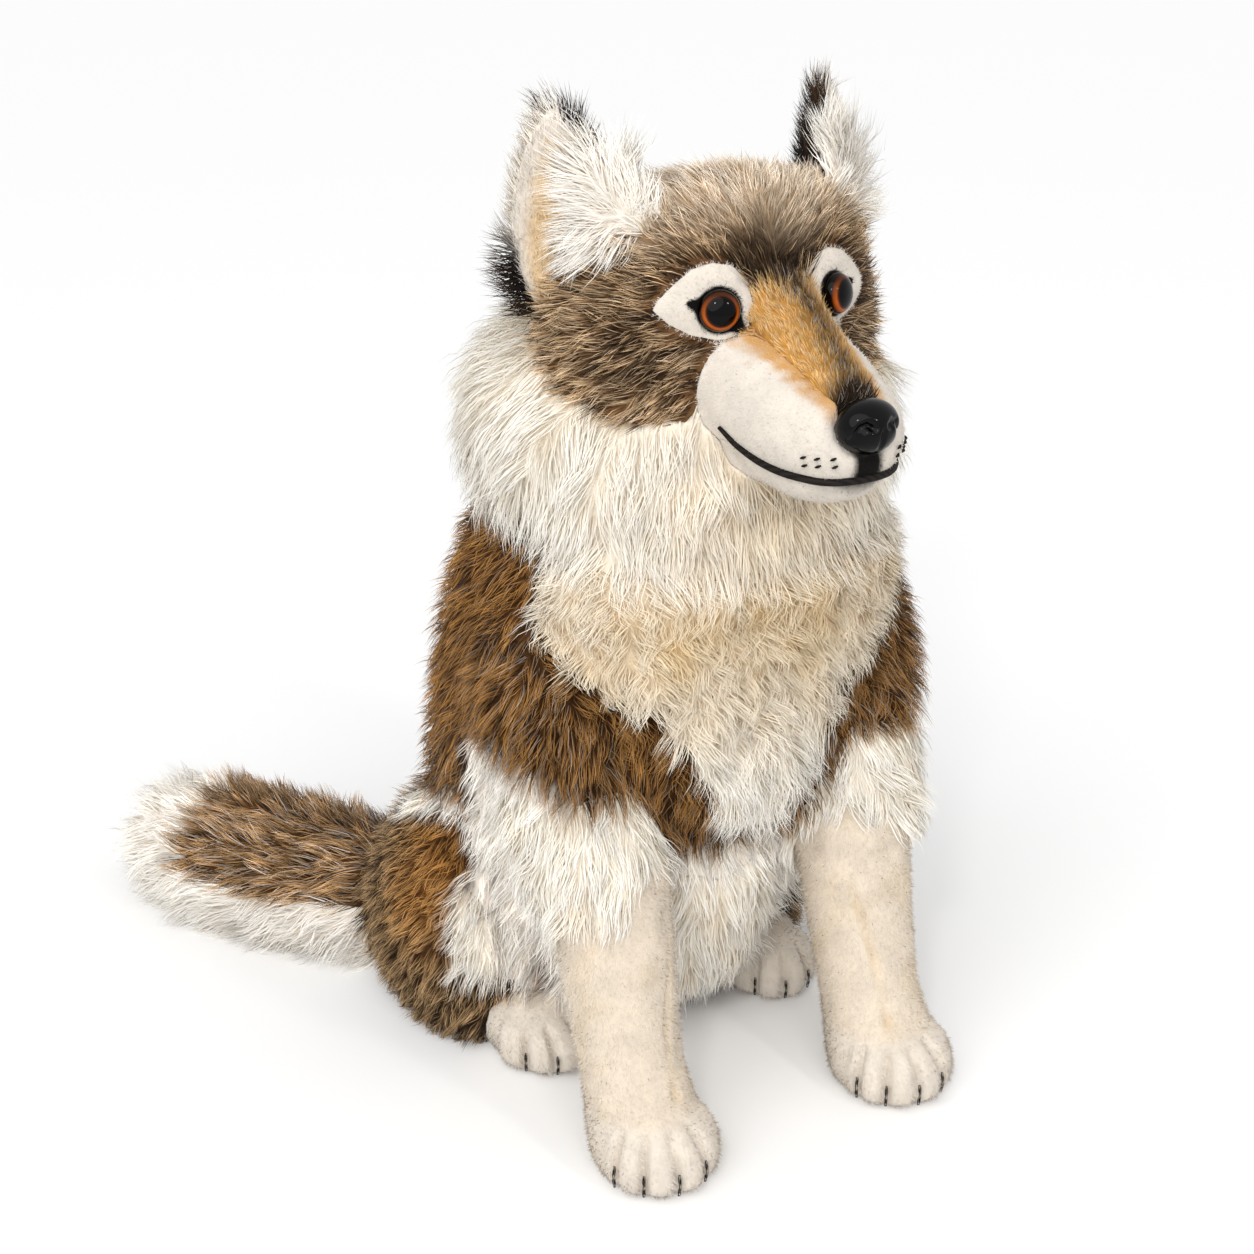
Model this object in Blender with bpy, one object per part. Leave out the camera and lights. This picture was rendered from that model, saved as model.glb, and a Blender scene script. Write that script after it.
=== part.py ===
# Seated plush wolf, sewn from long-pile and short-pile fabric and filled with fibre.
# The wolf faces -Y, its left side is +X, and it sits on the floor plane Z = 0.
# The origin is the middle of the flat seat, on the plane that mirrors left and right.
import math

import bmesh
import bpy
from mathutils import Matrix, Vector

MM = 0.001

# Clearance kept between neighbouring stuffed pieces.
CLEARANCE = 0.35

# Overall sizes, in millimetres.
NECK_HEIGHT = 335.0
HEAD_SEAT = NECK_HEIGHT + 17.0
EAR_RISE = 78.0
LEG_SPREAD = 73.0
HIND_SPREAD = 73.0
HAUNCH_SPREAD = 88.0
EYE_SPREAD = 31.0
EYE_RISE = 75.0
EYE_RADIUS = 9.8
EYE_BACK = -151.0
EAR_SPREAD = 66.0
EAR_TURN = 42.0
EAR_LEAN = 5.0
EAR_HEIGHT = 85.0

# Lock and hem relief on the long pile.
LOCK_RELIEF = 2.2
HEM_RELIEF = 6.0

# Slope of the shoulder hem: it climbs toward the outside of the body.
SHOULDER_TILT = 0.42

# Thread used for claws and lip.
CLAW_RADIUS = 0.9
LIP_RADIUS = 1.7

UP = Vector((0, 0, 1))
LEFT = 1
RIGHT = -1

# Untouched form of each piece, kept to make room for it in its neighbours.
FORMS = {}


def clear_scene():
    """Start from an empty scene."""
    for obj in list(bpy.data.objects):
        bpy.data.objects.remove(obj, do_unlink=True)


def srgb(hex_text):
    """Turn a written sRGB colour into linear values."""
    values = []
    for start in (0, 2, 4):
        part = int(hex_text[start:start + 2], 16) / 255.0
        low = part / 12.92
        high = ((part + 0.055) / 1.055) ** 2.4
        values.append(low if part <= 0.04045 else high)
    return (values[0], values[1], values[2], 1.0)


def material(name, hex_text, roughness, metallic=0.0):
    """One plain surface for one kind of fabric, plastic or thread."""
    mat = bpy.data.materials.new(name)
    mat.use_nodes = True
    shader = mat.node_tree.nodes["Principled BSDF"]
    shader.inputs["Base Color"].default_value = srgb(hex_text)
    shader.inputs["Roughness"].default_value = roughness
    shader.inputs["Metallic"].default_value = metallic
    mat.diffuse_color = srgb(hex_text)
    return mat


def add_object(name, bm, mat, smooth=True):
    """Put a finished mesh into the scene as one named piece."""
    bmesh.ops.recalc_face_normals(bm, faces=bm.faces)
    mesh = bpy.data.meshes.new(name)
    bm.to_mesh(mesh)
    bm.free()
    for face in mesh.polygons:
        face.use_smooth = smooth
    mesh.materials.append(mat)
    obj = bpy.data.objects.new(name, mesh)
    bpy.context.collection.objects.link(obj)
    return obj


def soft_power(value, power):
    """Signed power that squares off an ellipse a little."""
    return math.copysign(abs(value) ** (2.0 / power), value)


def ring(centre, axis_u, axis_v, count, power=2.0):
    """Closed loop of points round a centre, from the front point onward."""
    points = []
    for step in range(count):
        angle = 2.0 * math.pi * step / count
        u = soft_power(math.sin(angle), power)
        v = -soft_power(math.cos(angle), power)
        points.append(centre + axis_u * u + axis_v * v)
    return points


def level_ring(x, y, z, half_x, half_y, count, power=2.0):
    """Loop that lies level, for upright bodies."""
    centre = Vector((x, y, z))
    return ring(centre, Vector((half_x, 0, 0)), Vector((0, half_y, 0)), count, power)


def locks(loops, relief, first=1, last=-1):
    """Raise every other point of a body so that the pile reads as short locks."""
    done = []
    for row, loop in enumerate(loops):
        middle = sum(loop, Vector()) / len(loop)
        inside = first <= row < len(loops) + last
        new_loop = []
        for step, point in enumerate(loop):
            sign = 1.0 if (step + row) % 2 == 0 else -1.0
            shift = (point - middle).normalized() * (relief * sign if inside else 0.0)
            new_loop.append(point + shift)
        done.append(new_loop)
    return done


def hem(loop, drop):
    """Pull every other point of an edge loop down into a pointed hem."""
    return [p - UP * (drop if k % 2 == 0 else -drop * 0.5) for k, p in enumerate(loop)]


def skin_loops(loops, start_tip=None, end_tip=None):
    """Join loops into a closed body; an end without a tip is closed flat."""
    bm = bmesh.new()
    rows = [[bm.verts.new(p * MM) for p in loop] for loop in loops]
    count = len(rows[0])
    for low, high in zip(rows[:-1], rows[1:]):
        for step in range(count):
            nxt = (step + 1) % count
            bm.faces.new((low[step], low[nxt], high[nxt], high[step]))
    for row, tip in ((rows[0], start_tip), (rows[-1], end_tip)):
        if tip is None:
            bm.faces.new(row)
            continue
        point = bm.verts.new(tip * MM)
        for step in range(count):
            bm.faces.new((row[step], row[(step + 1) % count], point))
    return bm


def settle(bm):
    """Flatten whatever would hang below the floor."""
    for vert in bm.verts:
        vert.co.z = max(vert.co.z, 0.0)


def split_flat(bm):
    """Cut every face into triangles so that bent faces stay well defined."""
    bmesh.ops.triangulate(bm, faces=bm.faces)


def body(name, loops, mat, start_tip=None, end_tip=None, rests=False):
    """Closed stuffed body from loops."""
    bm = skin_loops(loops, start_tip, end_tip)
    if rests:
        settle(bm)
    split_flat(bm)
    obj = add_object(name, bm, mat)
    FORMS[name] = obj.data.copy()
    return obj


def grown_copy(obj, amount):
    """Untouched form of a piece, larger all round by an amount; used only to cut."""
    bm = bmesh.new()
    bm.from_mesh(FORMS[obj.name])
    bmesh.ops.recalc_face_normals(bm, faces=bm.faces)
    bm.normal_update()
    shifts = [v.normal * (v.calc_shell_factor() * amount * MM) for v in bm.verts]
    for vert, shift in zip(bm.verts, shifts):
        vert.co = vert.co + shift
    mesh = bpy.data.meshes.new(obj.name + "_cutter")
    bm.to_mesh(mesh)
    bm.free()
    cutter = bpy.data.objects.new(obj.name + "_cutter", mesh)
    bpy.context.collection.objects.link(cutter)
    cutter.hide_render = True
    cutter.display_type = 'WIRE'
    return cutter


def apply_boolean(target, cutter, operation):
    """Run one exact solid operation and keep its result as plain mesh."""
    mod = target.modifiers.new("solid_step", 'BOOLEAN')
    mod.operation = operation
    mod.solver = 'EXACT'
    mod.object = cutter
    graph = bpy.context.evaluated_depsgraph_get()
    result = bpy.data.meshes.new_from_object(target.evaluated_get(graph))
    target.modifiers.clear()
    old = target.data
    target.data = result
    bpy.data.meshes.remove(old)


def keep_largest(target):
    """Drop loose crumbs that a cut leaves beside the main body."""
    bm = bmesh.new()
    bm.from_mesh(target.data)
    unseen = set(bm.verts)
    groups = []
    while unseen:
        seed = unseen.pop()
        group = {seed}
        queue = [seed]
        while queue:
            vert = queue.pop()
            for edge in vert.link_edges:
                other = edge.other_vert(vert)
                if other in unseen:
                    unseen.remove(other)
                    group.add(other)
                    queue.append(other)
        groups.append(group)
    groups.sort(key=len)
    for group in groups[:-1]:
        bmesh.ops.delete(bm, geom=list(group), context='VERTS')
    bm.to_mesh(target.data)
    bm.free()


def cut(target, *tools):
    """Make room in a piece for its neighbours, leaving the clearance."""
    for tool in tools:
        cutter = grown_copy(tool, CLEARANCE)
        apply_boolean(target, cutter, 'DIFFERENCE')
        bpy.data.objects.remove(cutter, do_unlink=True)
    keep_largest(target)


def tidy(obj):
    """Merge the hair-thin slivers that cutting leaves along an edge."""
    bm = bmesh.new()
    bm.from_mesh(obj.data)
    bmesh.ops.remove_doubles(bm, verts=bm.verts, dist=0.00002)
    bmesh.ops.dissolve_degenerate(bm, edges=bm.edges, dist=0.00001)
    bmesh.ops.triangulate(bm, faces=[f for f in bm.faces if len(f.verts) > 3])
    bm.to_mesh(obj.data)
    bm.free()
    for face in obj.data.polygons:
        face.use_smooth = True


def direction(turn, lift=0.0):
    """Unit vector that points forward, turned toward the left side and lifted."""
    a = math.radians(turn)
    e = math.radians(lift)
    return Vector((math.sin(a) * math.cos(e), -math.cos(a) * math.cos(e), math.sin(e)))


def side_name(base, side):
    """Name of a piece that exists on both sides."""
    return base + ("_left" if side == LEFT else "_right")


clear_scene()

GREY_FUR = material("grey_brown_faux_fur", "8A7660", 0.95)
BROWN_FUR = material("brown_faux_fur", "66503A", 0.95)
DARK_FUR = material("dark_brown_faux_fur", "43352A", 0.95)
CREAM_FUR = material("cream_faux_fur", "EDE3CE", 0.95)
WHITE_FUR = material("white_faux_fur", "F3EDE1", 0.95)
SHORT_PILE = material("cream_short_pile", "EADCC3", 0.9)
WHITE_PILE = material("white_short_pile", "F4ECDF", 0.9)
TAN_PILE = material("tan_short_pile", "B98E55", 0.9)
BLACK_THREAD = material("black_thread", "17130F", 0.6)
NOSE_PLASTIC = material("nose_black_plastic", "0D0C0C", 0.18)
EYE_PLASTIC = material("eye_brown_plastic", "2A140A", 0.06)
WASHER_PLASTIC = material("washer_white_plastic", "E4E2DC", 0.45)


# Body masses.

def make_torso():
    """Back and flanks in brown long pile, flat where the wolf sits."""
    rows = (
        (0, 14, 70, 66), (14, 12, 86, 84), (50, 2, 97, 94), (90, -6, 103, 98),
        (126, -18, 109, 101), (160, -30, 116, 106), (203, -41, 118, 108),
        (240, -50, 118, 102), (272, -54, 114, 98), (302, -60, 106, 94),
        (322, -66, 90, 82),
    )
    loops = [level_ring(0, y, z, a, b, 22, 2.15) for z, y, a, b in rows]
    loops = locks(loops, LOCK_RELIEF, 2, -1)
    return body("torso", loops, BROWN_FUR, None, Vector((0, -68, NECK_HEIGHT)))


def make_ruff():
    """Thick cream ruff round the neck and under the cheeks."""
    rows = (
        (-43, -66, 84, 84), (-29, -68, 98, 99), (-7, -68, 108, 104),
        (17, -68, 112, 104), (41, -66, 110, 98), (65, -66, 97, 83),
        (89, -70, 68, 55),
    )
    loops = [level_ring(0, y, NECK_HEIGHT + rise, a, b, 24, 2.1) for rise, y, a, b in rows]
    loops = locks(loops, LOCK_RELIEF * 1.3, 1, -1)
    loops[0] = hem(loops[0], HEM_RELIEF)
    low = Vector((0, -66, NECK_HEIGHT - 39))
    return body("neck_ruff", loops, CREAM_FUR, low, Vector((0, -74, NECK_HEIGHT + 99)))


def make_bib():
    """Cream chest bib that ends in a point between the front legs."""
    rows = (
        (312, -102, 96, 62), (290, -104, 104, 66), (262, -104, 102, 62),
        (235, -106, 92, 53), (212, -111, 78, 48), (191, -119, 58, 40),
        (176, -127, 36, 32),
    )
    loops = [level_ring(0, y, z, a, b, 24, 2.1) for z, y, a, b in rows]
    loops = locks(loops, LOCK_RELIEF * 1.2, 1, 0)
    return body("chest_bib", loops, CREAM_FUR, None, Vector((0, -150, 160)))


def make_belly():
    """White belly panel between the legs."""
    rows = (
        (24, -44, 40, 34), (48, -60, 52, 44), (80, -72, 56, 46),
        (112, -80, 56, 45), (146, -84, 50, 42),
    )
    loops = [level_ring(0, y, z, a, b, 18, 2.1) for z, y, a, b in rows]
    loops = locks(loops, LOCK_RELIEF, 1, 0)
    return body("belly", loops, WHITE_FUR, Vector((0, -40, 16)), Vector((0, -84, 168)))


def tilt_low_end(loops, rows, slope, middle_x):
    """Slope the lowest loops of a body so that its hem runs aslant."""
    out = []
    for row, loop in enumerate(loops):
        share = max(0.0, 1.0 - row / rows)
        out.append([p + UP * (share * slope * (p.x - middle_x)) for p in loop])
    return out


def make_shoulder(side):
    """Brown shoulder that laps over the white sleeve."""
    rows = (
        (183, 81, -106, 43, 43), (200, 82, -100, 44, 45), (224, 84, -94, 44, 46),
        (250, 83, -88, 42, 44), (274, 79, -83, 37, 38), (292, 73, -80, 27, 27),
    )
    loops = [level_ring(side * x, y, z, a, b, 18) for z, x, y, a, b in rows]
    loops = locks(loops, LOCK_RELIEF, 1, 0)
    loops = tilt_low_end(loops, 2, side * SHOULDER_TILT, side * 81)
    loops[0] = hem(loops[0], HEM_RELIEF)
    low = Vector((side * 81, -106, 190))
    top = Vector((side * 68, -78, 302))
    return body(side_name("shoulder", side), loops, BROWN_FUR, low, top)


def make_sleeve(side):
    """White long-pile cuff that hangs over the top of the front leg."""
    rows = (
        (126, 74, -126, 37, 37), (140, 75, -122, 40.5, 41), (158, 77, -115, 42, 43),
        (178, 80, -108, 42, 43), (196, 81, -102, 38, 39),
    )
    loops = [level_ring(side * x, y, z, a, b, 18) for z, x, y, a, b in rows]
    loops = locks(loops, LOCK_RELIEF, 1, 0)
    loops[0] = hem(loops[0], HEM_RELIEF)
    low = Vector((side * 74, -126, 132))
    return body(side_name("sleeve", side), loops, WHITE_FUR, low, None)


def foot_point(centre, half_x, half_y, angle):
    """Point of a level ellipse in the direction of the given angle."""
    a = math.radians(angle)
    reach = 1.0 / math.hypot(math.sin(a) / half_x, math.cos(a) / half_y)
    return centre + Vector((math.sin(a) * reach, -math.cos(a) * reach, 0))


def foot_loop(centre, half_x, half_y, turn, depth, stitches, count=24):
    """Level loop of a foot, pressed in at the stitches between the toes."""
    loop = []
    for step in range(count):
        angle = 360.0 * step / count
        signed = (angle + 180.0) % 360.0 - 180.0
        dent = depth if min(abs(signed - a) for a in stitches) < 1.0 else 0.0
        loop.append(foot_point(centre, half_x - dent, half_y - dent, turn + angle))
    return loop


# Stitches between the toes, as angles round a foot from its own front, and the
# angle by which each foot is turned.
FRONT_STITCHES = (-45, -15, 15, 45)
HIND_STITCHES = (-30, 0, 30)
FRONT_TURN = -22.0
HIND_TURN = -10.0


def make_front_leg(side):
    """Front leg and paw in cream short pile, flat under the paw."""
    rows = (
        (0, -165, 27, 31, 0.5), (7, -166, 31, 35.5, 2.4), (18, -165, 32, 36.5, 2.8),
        (29, -160, 30.5, 35, 1.6), (39, -153, 28.5, 31, 0), (54, -146, 28, 28.5, 0),
        (92, -135, 30.3, 30.3, 0), (135, -127, 32, 32, 0), (158, -121, 30, 30, 0),
    )
    loops = []
    for z, y, a, b, depth in rows:
        centre = Vector((side * LEG_SPREAD, y, z))
        loops.append(foot_loop(centre, a, b, FRONT_TURN, depth, FRONT_STITCHES))
    return body(side_name("front_leg", side), loops, SHORT_PILE)


def make_haunch(side):
    """Folded hind leg, widest at the thigh and flat on the floor."""
    rows = (
        (0, 23, 0, 30, 54), (10, 23, 1, 37, 64), (34, 23, 2, 41, 70),
        (62, 21, 2, 42, 71), (90, 17, 0, 39, 66), (116, 11, -4, 33, 56),
        (138, 7, -8, 24, 40), (152, 4, -11, 14, 22),
    )
    loops = []
    for z, y, shift, a, b in rows:
        loops.append(level_ring(side * (HAUNCH_SPREAD + shift), y, z, a, b, 16))
    loops = locks(loops, LOCK_RELIEF, 1, 0)
    top = Vector((side * (HAUNCH_SPREAD - 14), 2, 157))
    return body(side_name("haunch", side), loops, GREY_FUR, None, top)


def make_hind_foot(side):
    """Hind foot that reaches forward from under the haunch."""
    rows = (
        (0, -46, 23, 33, 0.5), (7, -47, 26, 36.5, 2.2), (18, -46, 26.5, 37, 2.4),
        (29, -42, 24, 33, 1.2), (38, -36, 17, 24, 0),
    )
    loops = []
    for z, y, a, b, depth in rows:
        centre = Vector((side * HIND_SPREAD, y, z))
        loops.append(foot_loop(centre, a, b, HIND_TURN, depth, HIND_STITCHES))
    top = Vector((side * HIND_SPREAD, -33, 41))
    return body(side_name("hind_foot", side), loops, SHORT_PILE, None, top)


# Middle line of the tail with its half-width and half-height at each point.
TAIL_PATH = (
    (-36, 68, 26, 26, 30), (-68, 82, 28, 40, 40), (-98, 104, 29, 48, 49),
    (-124, 136, 30, 52, 52), (-146, 170, 31, 53, 52), (-163, 203, 31, 50, 50),
    (-177, 230, 32, 42, 43), (-187, 248, 34, 28, 28),
)
TAIL_START = Vector((-24, 64, 26))
TAIL_END = Vector((-192, 258, 34))

# The brown panel ends at this point of the path and starts this far above the floor.
PANEL_END = 5
PANEL_LOW = 40.0


def tail_frame(k):
    """Point of the tail's middle line with its directions along, across and up."""
    points = [Vector(row[:3]) for row in TAIL_PATH]
    before = points[max(k - 1, 0)]
    after = points[min(k + 1, len(points) - 1)]
    along = (after - before).normalized()
    across = along.cross(UP).normalized()
    return points[k], along, across, across.cross(along).normalized()


def make_tail(name, mat):
    """Bushy tail that lies on the floor behind the wolf."""
    loops = []
    for k, row in enumerate(TAIL_PATH):
        point, along, across, upward = tail_frame(k)
        loops.append(ring(point, across * row[3], upward * -row[4], 16))
    loops = locks(loops, LOCK_RELIEF, 1, 0)
    return body(name, loops, mat, TAIL_START, TAIL_END, rests=True)


def make_tail_guide():
    """Block that marks off the brown top panel from the white rest of the tail."""
    point, along, across = tail_frame(PANEL_END)[:3]
    forward = Vector((along.x, along.y, 0)).normalized()
    corners = []
    for back, aside in ((0, -110), (0, 110), (290, 170), (290, -170)):
        corner = point - forward * back + across * aside
        corners.append(Vector((corner.x, corner.y, 0)))
    loops = [[c + UP * z for c in corners] for z in (PANEL_LOW, 130.0)]
    guide = body("tail_guide", loops, BROWN_FUR)
    guide.hide_render = True
    guide.display_type = 'WIRE'
    return guide


# Head, face and ears.

def make_head():
    """Skull and cheeks in grey-brown pile."""
    rows = (
        (0, -98, 62, 46), (14, -98, 76, 54), (34, -98, 84, 58),
        (54, -98, 86, 58), (76, -98, 82, 57), (96, -99, 73, 53.5),
        (112, -103, 60, 43), (125, -107, 40, 28),
    )
    loops = [level_ring(0, y, HEAD_SEAT + rise, a, b, 22, 2.1) for rise, y, a, b in rows]
    low = Vector((0, -100, HEAD_SEAT - 6))
    return body("head", loops, GREY_FUR, low, Vector((0, -112, HEAD_SEAT + 132)))


def muzzle_ring(y, rise, half_x, half_z, count):
    """Upright loop across the muzzle, placed above the seat of the head."""
    centre = Vector((0, y, HEAD_SEAT + rise))
    return ring(centre, Vector((half_x, 0, 0)), Vector((0, 0, half_z)), count, 2.15)


def make_muzzle():
    """White muzzle with full lips."""
    rows = (
        (-128, 40, 40, 31), (-144, 39, 42, 32), (-160, 37, 42, 32.5),
        (-176, 34, 40, 30.5), (-192, 30, 37, 28), (-206, 27, 33, 24.5),
        (-217, 25, 26, 20), (-224, 25, 15, 12.5),
    )
    loops = [muzzle_ring(y, rise, a, b, 16) for y, rise, a, b in rows]
    return body("muzzle", loops, WHITE_PILE, None, Vector((0, -227, HEAD_SEAT + 25)))


def make_bridge():
    """Tan bridge let in between the eyes, down to the nose."""
    rows = (
        (-140, 70, 16, 21), (-158, 66, 19, 20), (-175, 59, 18, 16.5),
        (-192, 51, 15.5, 13.5), (-206, 45, 13, 10.5), (-214, 42, 9, 7),
    )
    loops = [muzzle_ring(y, rise, a, b, 10) for y, rise, a, b in rows]
    return body("nose_bridge", loops, TAN_PILE, None, Vector((0, -218, HEAD_SEAT + 40)))


def make_jaw():
    """Lower jaw tucked under the lips."""
    rows = (
        (-138, 20, 26, 17), (-156, 19, 34, 20.5), (-176, 15, 34.5, 20),
        (-194, 12, 31.5, 19), (-206, 10.5, 26, 15.5), (-215, 10, 15, 10.5),
    )
    loops = [muzzle_ring(y, rise, a, b, 12) for y, rise, a, b in rows]
    return body("lower_jaw", loops, WHITE_PILE, None, Vector((0, -219, HEAD_SEAT + 9.5)))


def round_peg(name, centre, face, profile, mat, around):
    """Turned plastic piece: (distance along the axis, radius) pairs."""
    across = UP.cross(face).normalized()
    upward = face.cross(across).normalized()
    loops = []
    for along, radius in profile[1:-1]:
        loops.append(ring(centre + face * along, across * radius, upward * radius, around))
    start = centre + face * profile[0][0]
    end = centre + face * profile[-1][0]
    return body(name, loops, mat, start, end)


# Outline of the eye patch: outward and upward distances from its middle.
PATCH_OUTLINE = (
    (-14, -8), (-15, 2), (-13, 12), (-6, 18.5), (3, 20), (12, 17.5), (20, 11),
    (27, 4), (29, 0), (22, -6), (12, -11), (2, -13), (-8, -12),
)
PATCH_DEPTH = 10.0
PATCH_RISE = 2.0

EYE_TURN = 24.0
EYE_LIFT = 6.0
STEM_RADIUS = 2.2
WASHER_RADIUS = 8.0


def eye_centre(side):
    """Point on the axis of an eye, level with its flat back."""
    return Vector((side * EYE_SPREAD, EYE_BACK, HEAD_SEAT + EYE_RISE))


def make_eye(side):
    """Domed safety eye with its stem."""
    face = direction(side * EYE_TURN, EYE_LIFT)
    profile = (
        (-16.0, 0), (-15.4, STEM_RADIUS), (-0.4, STEM_RADIUS), (0.0, EYE_RADIUS - 0.6),
        (1.0, EYE_RADIUS), (3.0, 9.2), (5.0, 7.3), (6.6, 4.2), (7.2, 0),
    )
    return round_peg(side_name("eye", side), eye_centre(side), face, profile, EYE_PLASTIC, 12)


def washer(name, centre, face, hole, radius, thickness, around=8):
    """Flat lock washer pressed on a stem."""
    across = UP.cross(face).normalized()
    upward = face.cross(across).normalized()
    disc = []
    for along in (0, thickness):
        disc.append(ring(centre + face * along, across * radius, upward * radius, around))
    obj = body(name, disc, WASHER_PLASTIC)
    hole_loops = []
    for along in (-1.0, thickness + 1.0):
        hole_loops.append(ring(centre + face * along, across * hole, upward * hole, around))
    drill = body(name + "_drill", hole_loops, WASHER_PLASTIC)
    apply_boolean(obj, drill, 'DIFFERENCE')
    bpy.data.objects.remove(drill, do_unlink=True)
    return obj


def make_eye_washer(side):
    """Hidden washer that holds the eye from inside the head."""
    face = direction(side * EYE_TURN, EYE_LIFT)
    centre = eye_centre(side) - face * 13.0
    name = side_name("eye_washer", side)
    return washer(name, centre, face, STEM_RADIUS + CLEARANCE, WASHER_RADIUS, 2.0)


def make_eye_patch(head, side):
    """White short-pile patch round the eye, let into the face."""
    name = side_name("eye_patch", side)
    out = direction(side * 27.0, 4.0)
    across = UP.cross(out).normalized() * side
    upward = out.cross(UP.cross(out)).normalized()
    centre = eye_centre(side)
    loops = []
    for along in (-PATCH_DEPTH, 24.0):
        loops.append([centre + out * along + across * u + upward * v for u, v in PATCH_OUTLINE])
    patch = body(name, loops, WHITE_PILE)
    swollen_head = grown_copy(head, PATCH_RISE)
    apply_boolean(patch, swollen_head, 'INTERSECT')
    bpy.data.objects.remove(swollen_head, do_unlink=True)
    return patch


NOSE_CENTRE = Vector((0, -220, HEAD_SEAT + 35.5))
NOSE_STEM = 2.6
NOSE_LIFT = 8.0


def make_nose():
    """Moulded black nose with its stem."""
    face = direction(0.0, NOSE_LIFT)
    frame = (UP.cross(face).normalized(), face.cross(UP.cross(face)).normalized(), face)
    centre = NOSE_CENTRE
    loops = []
    profile = (
        (-24.0, NOSE_STEM, NOSE_STEM), (-9.0, NOSE_STEM, NOSE_STEM), (-8.4, 10.0, 8.2), (-5.0, 13.6, 11.2),
        (0.0, 14.6, 12.2), (5.0, 13.4, 11.2), (9.0, 9.8, 8.4), (11.4, 5.0, 4.4),
    )
    for along, wide, tall in profile:
        loops.append(ring(centre + frame[2] * along, frame[0] * wide, frame[1] * tall, 12))
    tip = centre + frame[2] * 12.2
    return body("nose", loops, NOSE_PLASTIC, None, tip)


def make_nose_washer():
    """Hidden washer that holds the nose from inside the muzzle."""
    face = direction(0.0, NOSE_LIFT)
    centre = NOSE_CENTRE - face * 21.0
    return washer("nose_washer", centre, face, NOSE_STEM + CLEARANCE, 7.0, 2.0)


LIP_PATH = (
    (-39.8, -163, 25.5), (-37.2, -171, 20), (-34.2, -184, 16), (-31.2, -197, 14),
    (-25.8, -209.5, 12.5), (-17.5, -218.5, 11.5), (-8.5, -223.2, 11), (0, -225, 11),
)


def make_lip():
    """Black stitched lip line between the muzzle and the lower jaw."""
    right = [Vector((x, y, HEAD_SEAT + rise)) for x, y, rise in LIP_PATH]
    left = [Vector((-p.x, p.y, p.z)) for p in reversed(right[:-1])]
    path = right + left
    loops = []
    for k, point in enumerate(path):
        before = path[max(k - 1, 0)]
        after = path[min(k + 1, len(path) - 1)]
        along = (after - before).normalized()
        across = along.cross(UP).normalized()
        upward = across.cross(along).normalized()
        loops.append(ring(point, across * LIP_RADIUS, upward * LIP_RADIUS, 5))
    return body("lip_line", loops, BLACK_THREAD)


def ear_point(side, across, up, out):
    """Place a point of the ear: across it, up it and out through its opening."""
    turn = Matrix.Rotation(math.radians(side * EAR_TURN), 3, 'Z')
    lean = Matrix.Rotation(math.radians(side * EAR_LEAN), 3, 'Y')
    local = Vector((side * across, -out, up))
    base = Vector((side * EAR_SPREAD, -88.0, HEAD_SEAT + EAR_RISE))
    return base + turn @ (lean @ local)


def ear_loops(side, rows, count, cup):
    """Cupped cross-sections of an ear from its root to its tip."""
    loops = []
    for up, middle, half, thick, out in rows:
        loop = []
        for step in range(count):
            angle = 2.0 * math.pi * step / count
            u = math.sin(angle)
            across = middle + half * u
            depth = out - thick * math.cos(angle) + cup * u * u * half / 30.0
            loop.append(ear_point(side, across, up, depth))
        loops.append(loop)
    return loops


def make_ear_back(side):
    """Dark outer side of the ear."""
    rows = (
        (-14, 0, 24, 11, -2), (6, 0, 30, 10, -2), (26, 1, 31, 9, -3), (46, 2, 27, 8, -4),
        (64, 3, 19, 7, -4), (77, 4, 9, 5, -4),
    )
    loops = ear_loops(side, rows, 12, 7.0)
    tip = ear_point(side, 4, EAR_HEIGHT, -3)
    return body(side_name("ear_back", side), loops, DARK_FUR, None, tip)


def make_ear_lining(side):
    """Cream lining of the ear."""
    rows = (
        (-6, 0, 22, 5, 7), (10, 0, 26, 5, 7), (28, 1, 27, 4.5, 6), (46, 2, 23, 4.5, 5),
        (62, 3, 15, 4, 3.5), (72, 4, 7, 3, 2.5),
    )
    loops = ear_loops(side, rows, 10, 6.0)
    tip = ear_point(side, 4, 77, 2)
    return body(side_name("ear_lining", side), loops, SHORT_PILE, None, tip)


def make_ear_tuft(side):
    """White tuft that grows from the inner edge of the ear."""
    rows = (
        (-2, -22, 14, 5, 15), (10, -25, 20, 7, 17), (25, -27, 22, 8, 17),
        (40, -25, 19, 7, 15), (53, -21, 12, 5, 12),
    )
    loops = ear_loops(side, rows, 10, 2.0)
    loops = locks(loops, 1.5, 1, 0)
    tip = ear_point(side, -14, 63, 9)
    return body(side_name("ear_tuft", side), loops, WHITE_FUR, None, tip)


def claw_path(foot_centre, half_x, half_y, angle, reach_low, reach_high):
    """Short bent line of thread on the front of a toe."""
    middle = 0.5 * (reach_low + reach_high)
    points = []
    for height, swell in ((reach_low, 0.0), (middle, 1.0), (reach_high, 0.2)):
        point = foot_point(foot_centre, half_x + swell, half_y + swell, angle)
        points.append(point + UP * height)
    return points


def make_claw(name, path):
    """Claw worked in black thread."""
    loops = []
    for k, point in enumerate(path):
        along = (path[min(k + 1, 2)] - path[max(k - 1, 0)]).normalized()
        across = along.cross(Vector((0.3, 0.9, 0.1))).normalized()
        upward = across.cross(along).normalized()
        loops.append(ring(point, across * CLAW_RADIUS, upward * CLAW_RADIUS, 5))
    return body(name, loops, BLACK_THREAD)


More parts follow.
